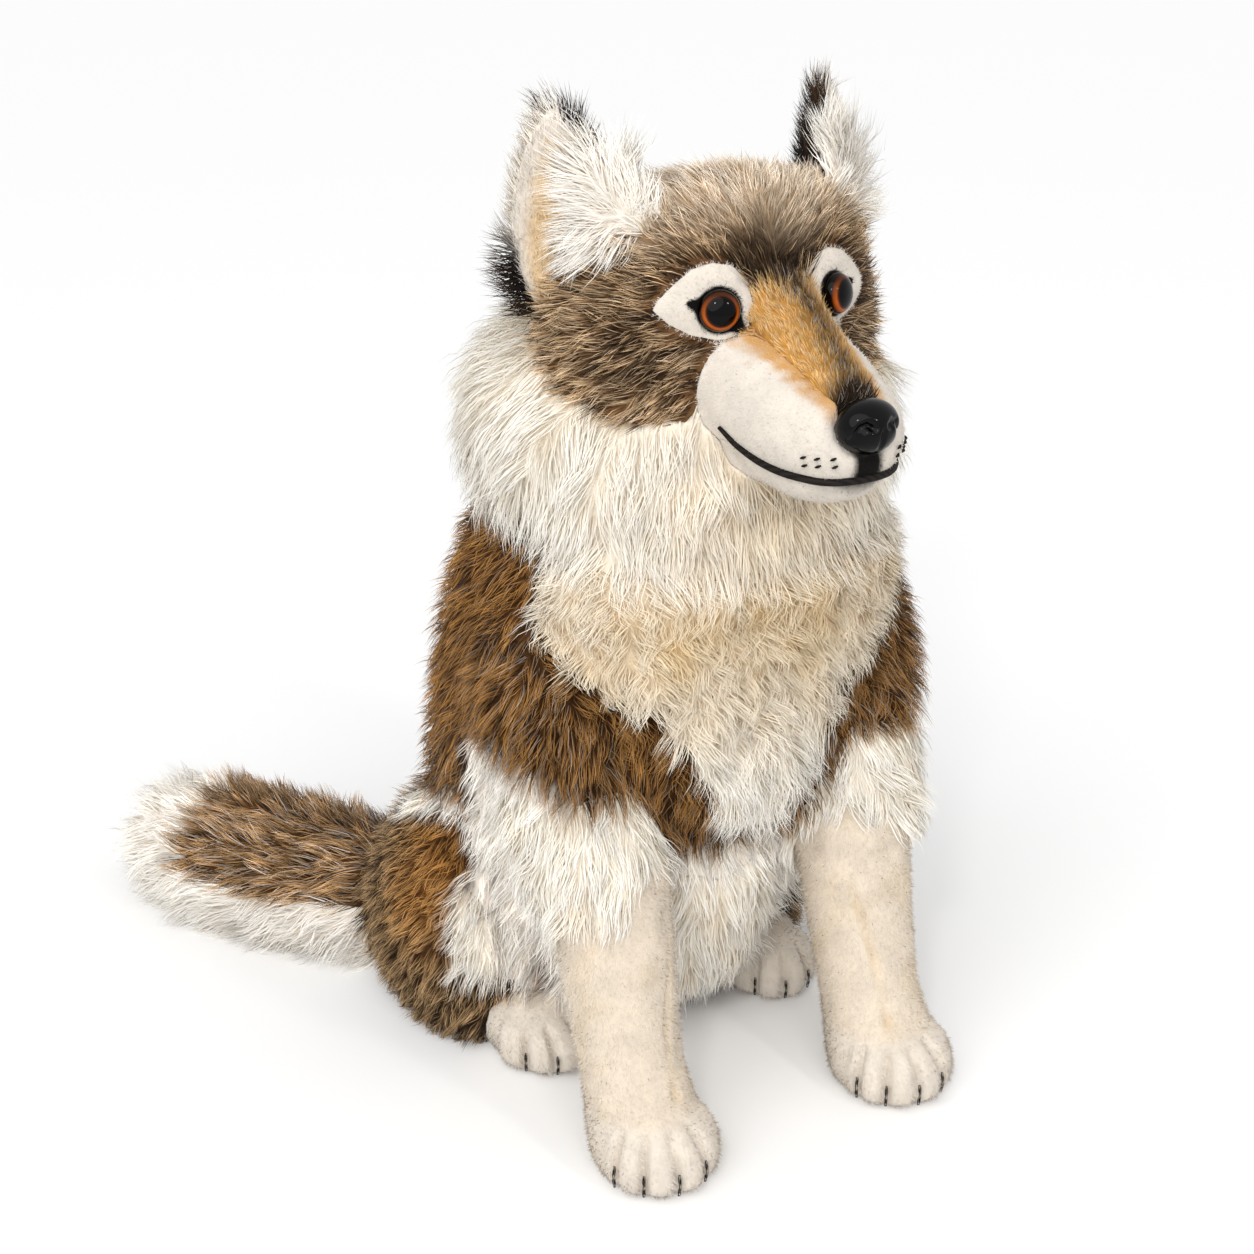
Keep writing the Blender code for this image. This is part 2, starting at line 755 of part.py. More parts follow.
def make_claws(side):
    """Claw stitches of the front and hind foot of one side."""
    made = {"front": [], "hind": []}
    label = "left" if side == LEFT else "right"
    for k, angle in enumerate(FRONT_STITCHES):
        centre = Vector((side * LEG_SPREAD, -166, 0))
        path = claw_path(centre, 29.4, 33.8, FRONT_TURN + angle, 5.0, 17.0)
        made["front"].append(make_claw("claw_front_%s_%d" % (label, k + 1), path))
    for k, angle in enumerate(HIND_STITCHES):
        centre = Vector((side * HIND_SPREAD, -47, 0))
        path = claw_path(centre, 24.4, 34.8, HIND_TURN + angle, 5.0, 16.0)
        made["hind"].append(make_claw("claw_hind_%s_%d" % (label, k + 1), path))
    return made


def make_side(head, side):
    """All the pieces that exist once on each side of the body."""
    pieces = {
        "shoulder": make_shoulder(side),
        "sleeve": make_sleeve(side),
        "leg": make_front_leg(side),
        "haunch": make_haunch(side),
        "foot": make_hind_foot(side),
        "patch": make_eye_patch(head, side),
        "eye": make_eye(side),
        "washer": make_eye_washer(side),
        "ear_back": make_ear_back(side),
        "ear_lining": make_ear_lining(side),
        "ear_tuft": make_ear_tuft(side),
    }
    claws = make_claws(side)
    cut(pieces["leg"], *claws["front"])
    cut(pieces["foot"], *claws["hind"])
    return pieces


def fit_side(side_pieces, torso, bib, ruff, belly):
    """Fit the limb pieces of one side to each other and to the body."""
    p = side_pieces
    cut(p["leg"], torso)
    cut(p["foot"], torso)
    cut(p["sleeve"], torso, p["leg"], bib)
    cut(p["shoulder"], torso, p["sleeve"], p["leg"], bib, ruff)
    cut(p["haunch"], torso, p["foot"])
    cut(belly, p["leg"], p["sleeve"], p["shoulder"], p["haunch"], p["foot"])


def fit_ears(head, p):
    """Sew the ear of one side to the head and fit its layers to each other."""
    for name in ("ear_tuft", "ear_lining", "ear_back"):
        cut(p[name], head)
    cut(p["ear_lining"], p["ear_tuft"])
    cut(p["ear_back"], p["ear_lining"], p["ear_tuft"])


def fit_face(head, sides, muzzle, bridge, jaw, nose, nose_washer, lip):
    """Fit the face: sewn-on pieces end at the head, let-in pieces sink into it."""
    for piece in (bridge, muzzle, jaw):
        cut(piece, head)
    cut(bridge, nose, nose_washer)
    cut(jaw, lip, nose, nose_washer)
    cut(muzzle, bridge, nose, nose_washer, lip, jaw)
    for p in sides:
        fit_ears(head, p)
        cut(bridge, p["eye"])
        cut(muzzle, p["eye"])
        cut(p["patch"], p["eye"], bridge, muzzle)
        cut(head, p["eye"], p["washer"], p["patch"])


def build():
    """Make every piece, then fit the pieces together."""
    torso = make_torso()
    ruff = make_ruff()
    bib = make_bib()
    belly = make_belly()
    head = make_head()
    muzzle = make_muzzle()
    bridge = make_bridge()
    jaw = make_jaw()
    nose = make_nose()
    nose_washer = make_nose_washer()
    lip = make_lip()
    tail = make_tail("tail", WHITE_FUR)
    tail_top = make_tail("tail_top", BROWN_FUR)
    tail_guide = make_tail_guide()
    sides = [make_side(head, side) for side in (LEFT, RIGHT)]

    fit_face(head, sides, muzzle, bridge, jaw, nose, nose_washer, lip)
    cut(ruff, torso, head, muzzle, jaw, sides[0]["ear_back"], sides[1]["ear_back"])
    cut(bib, torso, ruff)
    cut(belly, torso, bib)
    for p in sides:
        fit_side(p, torso, bib, ruff, belly)
    cut(tail, tail_guide)
    apply_boolean(tail_top, tail_guide, 'INTERSECT')
    bpy.data.objects.remove(tail_guide, do_unlink=True)
    for piece in (tail, tail_top):
        cut(piece, torso, sides[0]["haunch"], sides[1]["haunch"])
    for obj in list(bpy.data.objects):
        tidy(obj)


build()
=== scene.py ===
"""Seated plush wolf: stuffed covers in long and short pile, moulded eyes and nose, thread details.

The pile is real geometry. Each fibre bundle is a thin tapered ribbon that grows from the stuffed
cover, follows the way the pile is brushed and gathers with its neighbours into locks. Points of
the pile are in millimetres in the frame of the CAD, and meshes are made in metres.
"""

import math
from typing import NamedTuple

import bmesh
import bpy
import numpy as np
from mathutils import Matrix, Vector
from mathutils.bvhtree import BVHTree
from mathutils.kdtree import KDTree


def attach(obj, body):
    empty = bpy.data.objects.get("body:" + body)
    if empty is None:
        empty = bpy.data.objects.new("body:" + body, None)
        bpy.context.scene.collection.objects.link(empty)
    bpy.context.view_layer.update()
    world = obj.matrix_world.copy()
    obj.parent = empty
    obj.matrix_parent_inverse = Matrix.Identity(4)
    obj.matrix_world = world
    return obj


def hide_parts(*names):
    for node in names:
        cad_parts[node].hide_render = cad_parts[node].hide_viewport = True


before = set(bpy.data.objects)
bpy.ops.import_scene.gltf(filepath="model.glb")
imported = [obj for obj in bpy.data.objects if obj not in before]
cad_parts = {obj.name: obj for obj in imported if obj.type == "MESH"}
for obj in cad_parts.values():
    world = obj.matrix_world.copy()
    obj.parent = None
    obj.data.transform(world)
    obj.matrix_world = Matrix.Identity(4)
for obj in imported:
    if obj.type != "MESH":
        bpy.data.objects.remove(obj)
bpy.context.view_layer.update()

MM = 0.001
SIDES = {"left": 1.0, "right": -1.0}
SEED = 4711


# Colours

def linear(hex_text):
    """sRGB hex value as linear RGB."""
    out = []
    for k in (0, 2, 4):
        c = int(hex_text[k:k + 2], 16) / 255
        out.append(c / 12.92 if c <= 0.04045 else ((c + 0.055) / 1.055) ** 2.4)
    return (*out, 1.0)


# Each pile is a pair of colours, at the root of the fibre and at its tip. The darker root is partly
# the fibre's own colour and partly painted shade deep in the pile.
CREAM = ("F9F0E0", "FFFDF7")
WHITE = ("F8F0E4", "FFFCF6")
BEIGE = ("DDBF8E", "F6E2BC")
BROWN = ("321C08", "AA7C46")
WARM_BROWN = ("4A2C10", "CC9450")
DARK = ("1A120B", "4C3826")
UMBER = ("38240F", "CCA97C")
GREY_BROWN = ("66462A", "ECC899")
CROWN = ("C6AC8A", "FAEFE0")
RUST = ("6B3D14", "DEA45C")
GOLD = ("C08A42", "ECC686")
SHORT_CREAM = ("E0D2BF", "F1E8DC")
SHORT_WHITE = ("DFD6CA", "ECE4DA")
LINING = ("DDC094", "EDD8B4")
BLACK = ("080605", "1C1613")


# Nodes of a material

# Sockets of the node that mixes two colours.
FACTOR, FIRST, SECOND, MIXED = 0, 6, 7, 2


def add_node(tree, kind, inputs=(), links=(), **settings):
    """Add a shader node with its settings, its socket values and the links into it."""
    node = tree.nodes.new(kind)
    for key, value in settings.items():
        setattr(node, key, value)
    for socket, value in dict(inputs).items():
        node.inputs[socket].default_value = value
    for socket, source in dict(links).items():
        tree.links.new(source, node.inputs[socket])
    return node


def new_material(name, finish):
    """A material and its shader, with a value for each socket that the finish names."""
    mat = bpy.data.materials.new(name)
    mat.use_nodes = True
    tree = mat.node_tree
    tree.nodes.clear()
    out = add_node(tree, "ShaderNodeOutputMaterial")
    shader = add_node(tree, "ShaderNodeBsdfPrincipled", finish)
    tree.links.new(shader.outputs["BSDF"], out.inputs["Surface"])
    return mat, tree, shader


def pile_material(name, pairs, tuft_mm, cover):
    """Acrylic or polyester pile: matt fibres with a faint sheen, darker at the root than the tip,
    which is partly the fibres' own colour and partly painted shade deep in the pile.

    pairs holds up to four root and tip colours. The first covers the piece, and the others
    come in by the red, green and blue parts of the zones attribute. The strand attribute holds
    the height along the fibre, the fibre's own tone and a second random value. The cover under
    the fibres also has the bump of its tufts.
    """
    mat, tree, shader = new_material(name, {
        "Roughness": 0.78, "IOR": 1.5, "Specular IOR Level": 0.1, "Sheen Weight": 0.04,
        "Sheen Roughness": 0.45,
    })
    zones = add_node(tree, "ShaderNodeAttribute", attribute_name="zones")
    strand = add_node(tree, "ShaderNodeAttribute", attribute_name="strand")
    weight = add_node(tree, "ShaderNodeSeparateColor", links={0: zones.outputs["Color"]})
    fibre = add_node(tree, "ShaderNodeSeparateColor", links={0: strand.outputs["Color"]})
    # Painted shade: the colour darkens towards the root, partly the fibres' own colour and partly
    # shade deep in the pile.
    height = add_node(
        tree, "ShaderNodeMapRange", {1: 0.15, 2: 1.0, 3: 0.0, 4: 1.0},
        {0: fibre.outputs[0]}, interpolation_type="SMOOTHSTEP",
    ).outputs[0]
    colour = None
    for k, (root, tip) in enumerate(pairs):
        pair = add_node(
            tree, "ShaderNodeMix", {FIRST: linear(root), SECOND: linear(tip)}, {FACTOR: height},
            data_type="RGBA",
        ).outputs[MIXED]
        if k > 0:
            links = {FACTOR: weight.outputs[k - 1], FIRST: colour, SECOND: pair}
            pair = add_node(tree, "ShaderNodeMix", (), links, data_type="RGBA").outputs[MIXED]
        colour = pair
    place = add_node(tree, "ShaderNodeTexCoord").outputs["Object"]
    mottle = add_node(
        tree, "ShaderNodeTexNoise", {"Scale": 1 / (14 * MM), "Detail": 3.0, "Roughness": 0.6},
        {"Vector": place},
    )
    tone = add_node(
        tree, "ShaderNodeMapRange", {1: 0.3, 2: 0.7, 3: 0.90, 4: 1.07}, {0: mottle.outputs[0]},
    )
    own_tone = add_node(
        tree, "ShaderNodeMath", (), {0: fibre.outputs[1], 1: tone.outputs[0]},
        operation="MULTIPLY",
    )
    toned = add_node(
        tree, "ShaderNodeHueSaturation", (), {"Value": own_tone.outputs[0], "Color": colour},
    )
    tree.links.new(toned.outputs[0], shader.inputs["Base Color"])
    if cover:
        tufts = add_node(
            tree, "ShaderNodeTexNoise",
            {"Scale": 1 / (tuft_mm * MM), "Detail": 4.0, "Roughness": 0.7}, {"Vector": place},
        )
        bump = add_node(
            tree, "ShaderNodeBump", {"Strength": 0.6, "Distance": tuft_mm * MM * 0.5},
            {"Height": tufts.outputs[0]},
        )
        tree.links.new(bump.outputs[0], shader.inputs["Normal"])
    return mat


# Small vector helpers

def unit(v):
    return v / np.maximum(np.linalg.norm(v, axis=-1, keepdims=True), 1e-9)


def dot(a, b):
    return (a * b).sum(-1, keepdims=True)


def ease(low, high, x):
    """Smooth step from 0 at low to 1 at high."""
    t = np.clip((x - low) / (high - low), 0.0, 1.0)
    return t * t * (3 - 2 * t)


def spot(p, centre, size):
    """Soft spot: 1 at its centre, falling off over size."""
    d = (p - np.array(centre)) / np.array(size)
    return np.exp(-(d * d).sum(-1))


def noise(p, scale, seed):
    """Smooth repeatable noise of about -1 to 1 from a few crossed waves."""
    rng = np.random.default_rng(seed)
    total = np.zeros(len(p))
    for _ in range(7):
        way = rng.normal(size=3)
        way /= np.linalg.norm(way)
        turn = rng.uniform(0.6, 1.7) * 2 * math.pi / scale
        total += np.sin((p @ way) * turn + rng.uniform(0, 6.28))
    return total / 3.2


def path_place(p, path):
    """Distance of points from a path, the leg of it that is nearest, and the share along that."""
    best = np.full(len(p), 1e9)
    leg = np.zeros(len(p), int)
    share = np.zeros(len(p))
    for k, (a, b) in enumerate(zip(path[:-1], path[1:])):
        t = np.clip(((p - a) @ (b - a)) / ((b - a) @ (b - a)), 0, 1)
        d = np.linalg.norm(p - (a + t[:, None] * (b - a)), axis=1)
        near = d < best
        best[near], leg[near], share[near] = d[near], k, t[near]
    return best, leg, share


def facing(turn, lift):
    """Unit vector that points forward, turned to the left side and lifted, in degrees."""
    a, e = math.radians(turn), math.radians(lift)
    return np.array((math.sin(a) * math.cos(e), -math.cos(a) * math.cos(e), math.sin(e)))


# Meshes in and out

def mesh_arrays(obj):
    """Vertices and triangles of an object, in metres."""
    mesh = obj.to_mesh()
    mesh.calc_loop_triangles()
    co = np.empty(len(mesh.vertices) * 3, np.float32)
    mesh.vertices.foreach_get("co", co)
    tri = np.empty(len(mesh.loop_triangles) * 3, np.int32)
    mesh.loop_triangles.foreach_get("vertices", tri)
    obj.to_mesh_clear()
    return co.reshape(-1, 3).astype(float), tri.reshape(-1, 3)


def joined_arrays(names):
    """Vertices and triangles of some CAD nodes together, and the number of each triangle's node."""
    verts, tris, owner, start = [], [], [], 0
    for k, name in enumerate(names):
        co, tri = mesh_arrays(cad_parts[name])
        verts.append(co)
        tris.append(tri + start)
        owner.append(np.full(len(tri), k))
        start += len(co)
    return np.concatenate(verts), np.concatenate(tris), np.concatenate(owner)


def search_tree(verts, tris):
    return BVHTree.FromPolygons([tuple(v) for v in verts], [tuple(map(int, t)) for t in tris])


def add_object(name, data):
    obj = bpy.data.objects.new(name, data)
    bpy.context.scene.collection.objects.link(obj)
    return obj


def new_object(name, verts, faces):
    mesh = bpy.data.meshes.new(name)
    mesh.from_pydata([tuple(v) for v in verts], [], [tuple(int(i) for i in f) for f in faces])
    mesh.update()
    mesh.shade_smooth()
    return add_object(name, mesh)


def weld(obj, distance=1e-6):
    """Join vertices that coincide, and turn all the faces outward."""
    bm = bmesh.new()
    bm.from_mesh(obj.data)
    bmesh.ops.remove_doubles(bm, verts=bm.verts, dist=distance)
    bmesh.ops.recalc_face_normals(bm, faces=bm.faces)
    bm.to_mesh(obj.data)
    bm.free()


def reshape(obj, kind, **settings):
    """Change the mesh of an object by one modifier."""
    mod = obj.modifiers.new("shape", kind)
    for key, value in settings.items():
        setattr(mod, key, value)
    shaped = obj.evaluated_get(bpy.context.evaluated_depsgraph_get())
    mesh = bpy.data.meshes.new_from_object(shaped)
    obj.modifiers.clear()
    old = obj.data
    obj.data = mesh
    bpy.data.meshes.remove(old)


def neighbours(tri):
    """Both ends of every edge, each edge in both directions."""
    edges = np.concatenate([tri[:, [0, 1]], tri[:, [1, 2]], tri[:, [2, 0]]])
    edges = np.concatenate([edges, edges[:, ::-1]])
    return np.unique(edges, axis=0)


def average_round(values, edges, rounds):
    """Smooth a value per vertex over its neighbours."""
    count = len(values)
    degree = np.maximum(np.bincount(edges[:, 0], minlength=count), 1)
    flat = values.reshape(count, -1).astype(float)
    for _ in range(rounds):
        total = np.stack([
            np.bincount(edges[:, 0], weights=flat[edges[:, 1], k], minlength=count)
            for k in range(flat.shape[1])
        ], 1)
        flat = flat + (total / degree[:, None] - flat) * 0.5
    return flat.reshape(values.shape)


def face_crosses(verts, tri):
    """A vector along the normal of each triangle, twice as long as its area."""
    a, b, c = (verts[tri[:, k]] for k in range(3))
    return np.cross(b - a, c - a)


def vertex_normals(verts, tri):
    face = face_crosses(verts, tri)
    out = np.zeros_like(verts)
    for k in range(3):
        np.add.at(out, tri[:, k], face)
    return unit(out)


# The stuffed covers

def kind_of(node):
    """The name of a node without its side."""
    return node.rsplit("_", 1)[0] if node.endswith(("left", "right")) else node


def side_of(node):
    """1 for a node of the left side, otherwise -1."""
    return 1.0 if node.endswith("left") else -1.0


# Depth of each kind of pile in millimetres: how far the cover lies inside the solid.
PILE_DEPTH = {
    "torso": 8.0, "neck_ruff": 9.0, "chest_bib": 7.0, "belly": 6.0, "head": 4.5, "muzzle": 1.6,
    "nose_bridge": 1.8, "lower_jaw": 1.6, "tail": 9.0, "tail_top": 9.0, "shoulder": 7.0,
    "sleeve": 6.0, "front_leg": 1.8, "haunch": 6.5, "hind_foot": 1.8, "eye_patch": 1.4,
    "ear_back": 1.8, "ear_lining": 1.2, "ear_tuft": 2.0,
}
SOFT = sorted(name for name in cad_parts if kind_of(name) in PILE_DEPTH)
THREADS = [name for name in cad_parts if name.startswith("claw") or name == "lip_line"]
WASHERS = [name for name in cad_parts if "washer" in name]
COVER_GRID = 3.4 * MM
FLOOR_BAND = 1.6 * MM
COVER_FLOOR = 0.8 * MM


def whole_skin():
    """One smooth skin under the pile of all the soft pieces, its arrays, and a node finder."""
    verts, tris, owner = joined_arrays(SOFT)
    outer = search_tree(verts, tris)

    def nodes_at(points):
        return np.array([owner[outer.find_nearest(Vector(p))[2]] for p in points])

    solid = new_object("whole_skin", verts, tris)
    weld(solid)
    reshape(solid, "REMESH", mode="VOXEL", voxel_size=COVER_GRID)
    co, tri = mesh_arrays(solid)
    bpy.data.objects.remove(solid)
    edges = neighbours(tri)
    on_floor = co[:, 2] < FLOOR_BAND
    node = nodes_at(co)
    thin = np.array([SOFT[k].startswith("ear") for k in node])[:, None]
    co = np.where(thin, average_round(co, edges, 1), average_round(co, edges, 4))
    depth = np.array([PILE_DEPTH[kind_of(SOFT[k])] for k in node]) * MM
    depth = average_round(depth, edges, 5)
    co = co - vertex_normals(co, tri) * depth[:, None]
    co = np.where(thin, co, average_round(co, edges, 2))
    co[on_floor, 2] = COVER_FLOOR
    co[:, 2] = np.maximum(co[:, 2], COVER_FLOOR)
    skin = new_object("whole_skin", co, tri)
    reshape(skin, "REMESH", mode="VOXEL", voxel_size=COVER_GRID)
    return skin, *mesh_arrays(skin), nodes_at


def closed_cover(node, skin, keep_share):
    """Closed stuffed cover of one node: its CAD solid, cut back to the skin under the pile."""
    obj = add_object(node + "_cover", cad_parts[node].data.copy())
    obj.data.materials.clear()
    weld(obj)
    reshape(obj, "BOOLEAN", operation="INTERSECT", solver="MANIFOLD", object=skin)
    if keep_share < 1.0:
        reshape(obj, "DECIMATE", ratio=keep_share)
    obj.data.materials.clear()
    obj.data.polygons.foreach_set("material_index", np.zeros(len(obj.data.polygons), np.int32))
    obj.data.shade_smooth()
    return obj


# The pile

class Pile(NamedTuple):
    """How a kind of pile grows."""

    dense: float  # fibre bundles per square centimetre
    length: float  # in mm
    lift: float  # share of the growth that stands away from the cover
    width: float  # in mm
    bends: int
    lock: float = 0.0  # size of the locks in mm
    gather: float = 0.0  # how far the fibres of a lock are drawn together
    sag: float = 0.0
    wave: float = 0.0  # in mm
    vary: float = 0.3  # spread of the length
    stray: float = 0.12  # spread of the direction
    tone: float = 0.10  # spread of the lightness


SHORT_WHITE_PILE = Pile(110, 2.1, 0.45, 0.36, 2, stray=0.25, tone=0.05)
SHORT_CREAM_PILE = Pile(85, 3.2, 0.50, 0.42, 2, stray=0.25, tone=0.05)
PILES = {
    "torso": Pile(22, 16, 0.45, 0.64, 3, 6, 0.58, 0.08, 0.8, tone=0.28),
    "shoulder": Pile(42, 17, 0.44, 0.56, 3, 6, 0.60, 0.10, 0.8, tone=0.28),
    "haunch": Pile(38, 15, 0.46, 0.56, 3, 6, 0.58, 0.08, 0.8, tone=0.28),
    "tail_top": Pile(38, 19, 0.48, 0.58, 3, 7, 0.60, 0.04, 0.8, tone=0.48),
    "head": Pile(60, 13, 0.38, 0.50, 2, 4, 0.45, 0.03, 0.3, stray=0.14, tone=0.38),
    "ear_back": Pile(64, 11, 0.42, 0.52, 2, 5, 0.40, 0.0, 0.4, stray=0.14, tone=0.2),
    "neck_ruff": Pile(27, 22, 0.42, 0.68, 3, 12, 0.40, 0.14, 1.4, tone=0.05),
    "chest_bib": Pile(44, 15, 0.62, 0.62, 3, 7, 0.50, 0.14, 3.2, 0.35, 0.20, 0.06),
    "belly": Pile(18, 17, 0.40, 0.80, 3, 9, 0.45, 0.15, 1.6, vary=0.25),
    "sleeve": Pile(30, 19, 0.38, 0.75, 3, 9, 0.50, 0.14, 1.6),
    "tail": Pile(24, 21, 0.50, 0.80, 3, 10, 0.45, 0.08, 1.4, stray=0.16),
    "ear_tuft": Pile(90, 22, 0.40, 0.60, 3, 7, 0.45, 0.05, 1.4, stray=0.18),
    "ear_lining": Pile(90, 6.0, 0.42, 0.46, 2, 3, 0.3, 0.0, 0.3, stray=0.2),
    "nose_bridge": Pile(130, 5.0, 0.42, 0.40, 2, 3, 0.3, stray=0.15, tone=0.2),
    "eye_patch": Pile(220, 2.0, 0.45, 0.34, 2, stray=0.2, tone=0.05),
    "muzzle": SHORT_WHITE_PILE,
    "lower_jaw": SHORT_WHITE_PILE,
    "front_leg": SHORT_CREAM_PILE,
    "hind_foot": SHORT_CREAM_PILE,
}

# Kinds that are brushed one way all over: outward, backward and up.
STROKES = {
    "torso": (0.25, 0.30, -1.0), "belly": (0.1, -0.2, -1.0), "muzzle": (0.25, 1.0, -0.25),
    "lower_jaw": (0.25, 1.0, -0.25), "nose_bridge": (0.0, 1.0, 0.5),
    "shoulder": (0.15, 0.15, -1.0), "sleeve": (0.1, 0.0, -1.0), "haunch": (0.25, 0.55, -1.0),
    "hind_foot": (0.0, -1.0, -0.5),
}

EYE_CENTRE = {label: np.array((side * 31.0, -151.0, 427.0)) for label, side in SIDES.items()}
EYE_AXIS = {label: facing(side * 24.0, 6.0) for label, side in SIDES.items()}
EYE_RADIUS = 9.4
EAR_TURN = 42.0
EAR_BASE = (66.0, -88.0, 430.0)
TUFT_ROOT = (62.0, -112.0, 472.0)
TAIL_ROUTE = np.array((
    (-36, 68, 26), (-68, 82, 28), (-98, 104, 29), (-124, 136, 30), (-146, 170, 31),
    (-163, 203, 31), (-177, 230, 32), (-187, 248, 34), (-192, 258, 34),
), float)
# Share of the way along the tail at which its brown panel turns white.
TAIL_WHITE = 0.59


def along_tail(p):
    """Distance along the tail from 0 to 1, and the way to its tip."""
    _, leg, share = path_place(p, TAIL_ROUTE)
    ways = unit(TAIL_ROUTE[1:] - TAIL_ROUTE[:-1])
    return (leg + share) / len(ways), ways[leg]


def ear_place(side, p):
    """Place of points on an ear: outward across it, up from its base, and forward of its middle."""
    turn = math.radians(side * EAR_TURN)
    q = p - np.array((side * EAR_BASE[0], *EAR_BASE[1:]))
    across = side * (q[:, 0] * math.cos(turn) + q[:, 1] * math.sin(turn))
    return across, q[:, 2], q[:, 0] * math.sin(turn) - q[:, 1] * math.cos(turn)


def ear_stroke(kind, side, p):
    """The way an ear is brushed: the tuft fans out from its root, and the rest lies upward."""
    across, up, _ = ear_place(side, p)
    if kind == "ear_tuft":
        rise = (ease(28, 44, up) * ease(-10, -22, across))[:, None]
        fan = unit(p - np.array((side * TUFT_ROOT[0], *TUFT_ROOT[1:]))) * 0.8
        fan = fan + np.array((side * 0.75, 0.15, 0.5))
        return fan * (1 - rise) + np.array((side * -0.12, 0.0, 1.0)) * rise
    if kind == "ear_lining":
        lean = ease(4, -6, across)
        return np.stack([side * (0.1 + 0.7 * lean), 0.3 * lean, np.ones(len(p))], 1)
    low = ease(34, 8, up)
    fan = np.clip(across / ear_half(up), -1.2, 1.2) * (1 - low)
    turn = math.radians(side * EAR_TURN)
    way = np.stack([side * 0.6 * low, 0.5 * low, 1 - 1.1 * low], 1)
    return way + np.outer(fan * side, (math.cos(turn), math.sin(turn), 0.0))


def brushed(node, p, normals):
    """The way the pile of a node is brushed, laid along its cover."""
    x, y, z = p.T
    kind, side = kind_of(node), side_of(node)
    one = np.ones(len(p))
    if kind in STROKES:
        outward, back, up = STROKES[kind]
        out = np.sign(x) if kind == node else side * one
        way = np.stack([outward * out, back * one, up * one], 1)
    elif kind == "neck_ruff":
        way = unit(np.stack([x, y + 66, 0 * x], 1)) * 0.35 + np.array((0, 0.0, -1.0))
    elif kind == "chest_bib":
        way = np.stack([-0.25 * x / 100, -0.15 * one, -one], 1)
    elif kind == "head":
        way = unit(p - np.array((0.0, -235.0, 405.0)))
        way = way + np.stack([0.3 * np.sign(x), 0 * x, -0.55 * ease(440, 380, z)], 1)
    elif kind in ("tail", "tail_top"):
        way = along_tail(p)[1] + np.array((0, 0, -0.25))
    elif kind == "front_leg":
        low = ease(60, 25, z)
        way = np.stack([0 * x, -low, -(1.15 - low)], 1)
    elif kind == "eye_patch":
        way = p - EYE_CENTRE[node.rsplit("_", 1)[1]]
    else:
        way = ear_stroke(kind, side, p)
    way = unit(way)
    return unit(way - dot(way, normals) * normals + 1e-6)


def ear_half(up):
    """Half width of the ear at a height above its base."""
    return np.interp(up, (-14, 6, 26, 46, 64, 77, 85), (24, 30, 31, 27, 19, 9, 2))


def bib_half(z):
    """Half width of the cream chest at a height."""
    return np.interp(z, (163, 177, 211, 235, 245, 269, 294, 312),
                     (6, 22, 40, 53, 78, 97, 101, 112))


def inside_bib(p, margin):
    """1 inside the outline of the cream chest, drawn in by a margin."""
    x, y, z = p.T
    return (
        ease(2, -2, np.abs(x) - bib_half(z) + margin) * ease(-98, -102, y)
        * ease(163, 167, z) * ease(316, 306, z)
    )


def thigh_arc(y):
    """Height of the upper edge of the thigh along the body."""
    return np.interp(y, (-57, -52, -31, -3, 30, 60), (143, 156, 155, 148, 129, 110))


def thigh_fringe(p, arc_low, arc_high, fleck):
    """1 on the pale fringe along the upper edge of the thigh, ragged by the flecks."""
    _, y, z = p.T
    arc = thigh_arc(y)
    return ease(arc - arc_low, arc - arc_high, z + 2 * fleck) * ease(54, 36, y + 3 * fleck)


def eye_liner(label, p):
    """1 on the black edging of an eye: thin all round, with a spur outside and a drop inside."""
    axis = EYE_AXIS[label]
    across = unit(np.cross((0, 0, 1), axis))
    off = p - EYE_CENTRE[label]
    u, v = SIDES[label] * (off @ across), off @ np.cross(axis, across)
    turn = np.degrees(np.arctan2(v, u))
    wide = 1.2 + 4.6 * np.exp(-((turn - 14) / 12) ** 2) + 3.6 * np.exp(-((turn + 140) / 15) ** 2)
    edge = EYE_RADIUS + wide
    return ease(edge + 0.5, edge - 0.5, np.hypot(u, v))


LEG_SEAM = np.array(((43, -146, 150), (54, -157, 110), (62, -167, 76), (64, -178, 45)), float)


def leg_seam(p):
    """1 on the seam down the inner front of a front leg."""
    q = p.copy()
    q[:, 0] = np.abs(q[:, 0])
    off = path_place(q, LEG_SEAM)[0]
    return np.exp(-(np.maximum(off - 2.0, 0) / 1.5) ** 2)


FOOT_MIDDLE = {"front_leg": (72.0, -166.0), "hind_foot": (80.0, -47.0)}
FOOT_TOP = {"front_leg": 36.0, "hind_foot": 32.0}
TOE_SWELL, TOE_GROOVE = 4.2, 2.6
SEAM_DEPTH, BRIDGE_SWELL = 2.2, 4.5
TOE_LINES = {}
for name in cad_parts:
    if name.startswith("claw"):
        foot = "front_leg_" if "front" in name else "hind_foot_"
        stitch = mesh_arrays(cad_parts[name])[0].mean(0) / MM
        TOE_LINES.setdefault(foot + name.split("_")[2], []).append(stitch[:2])


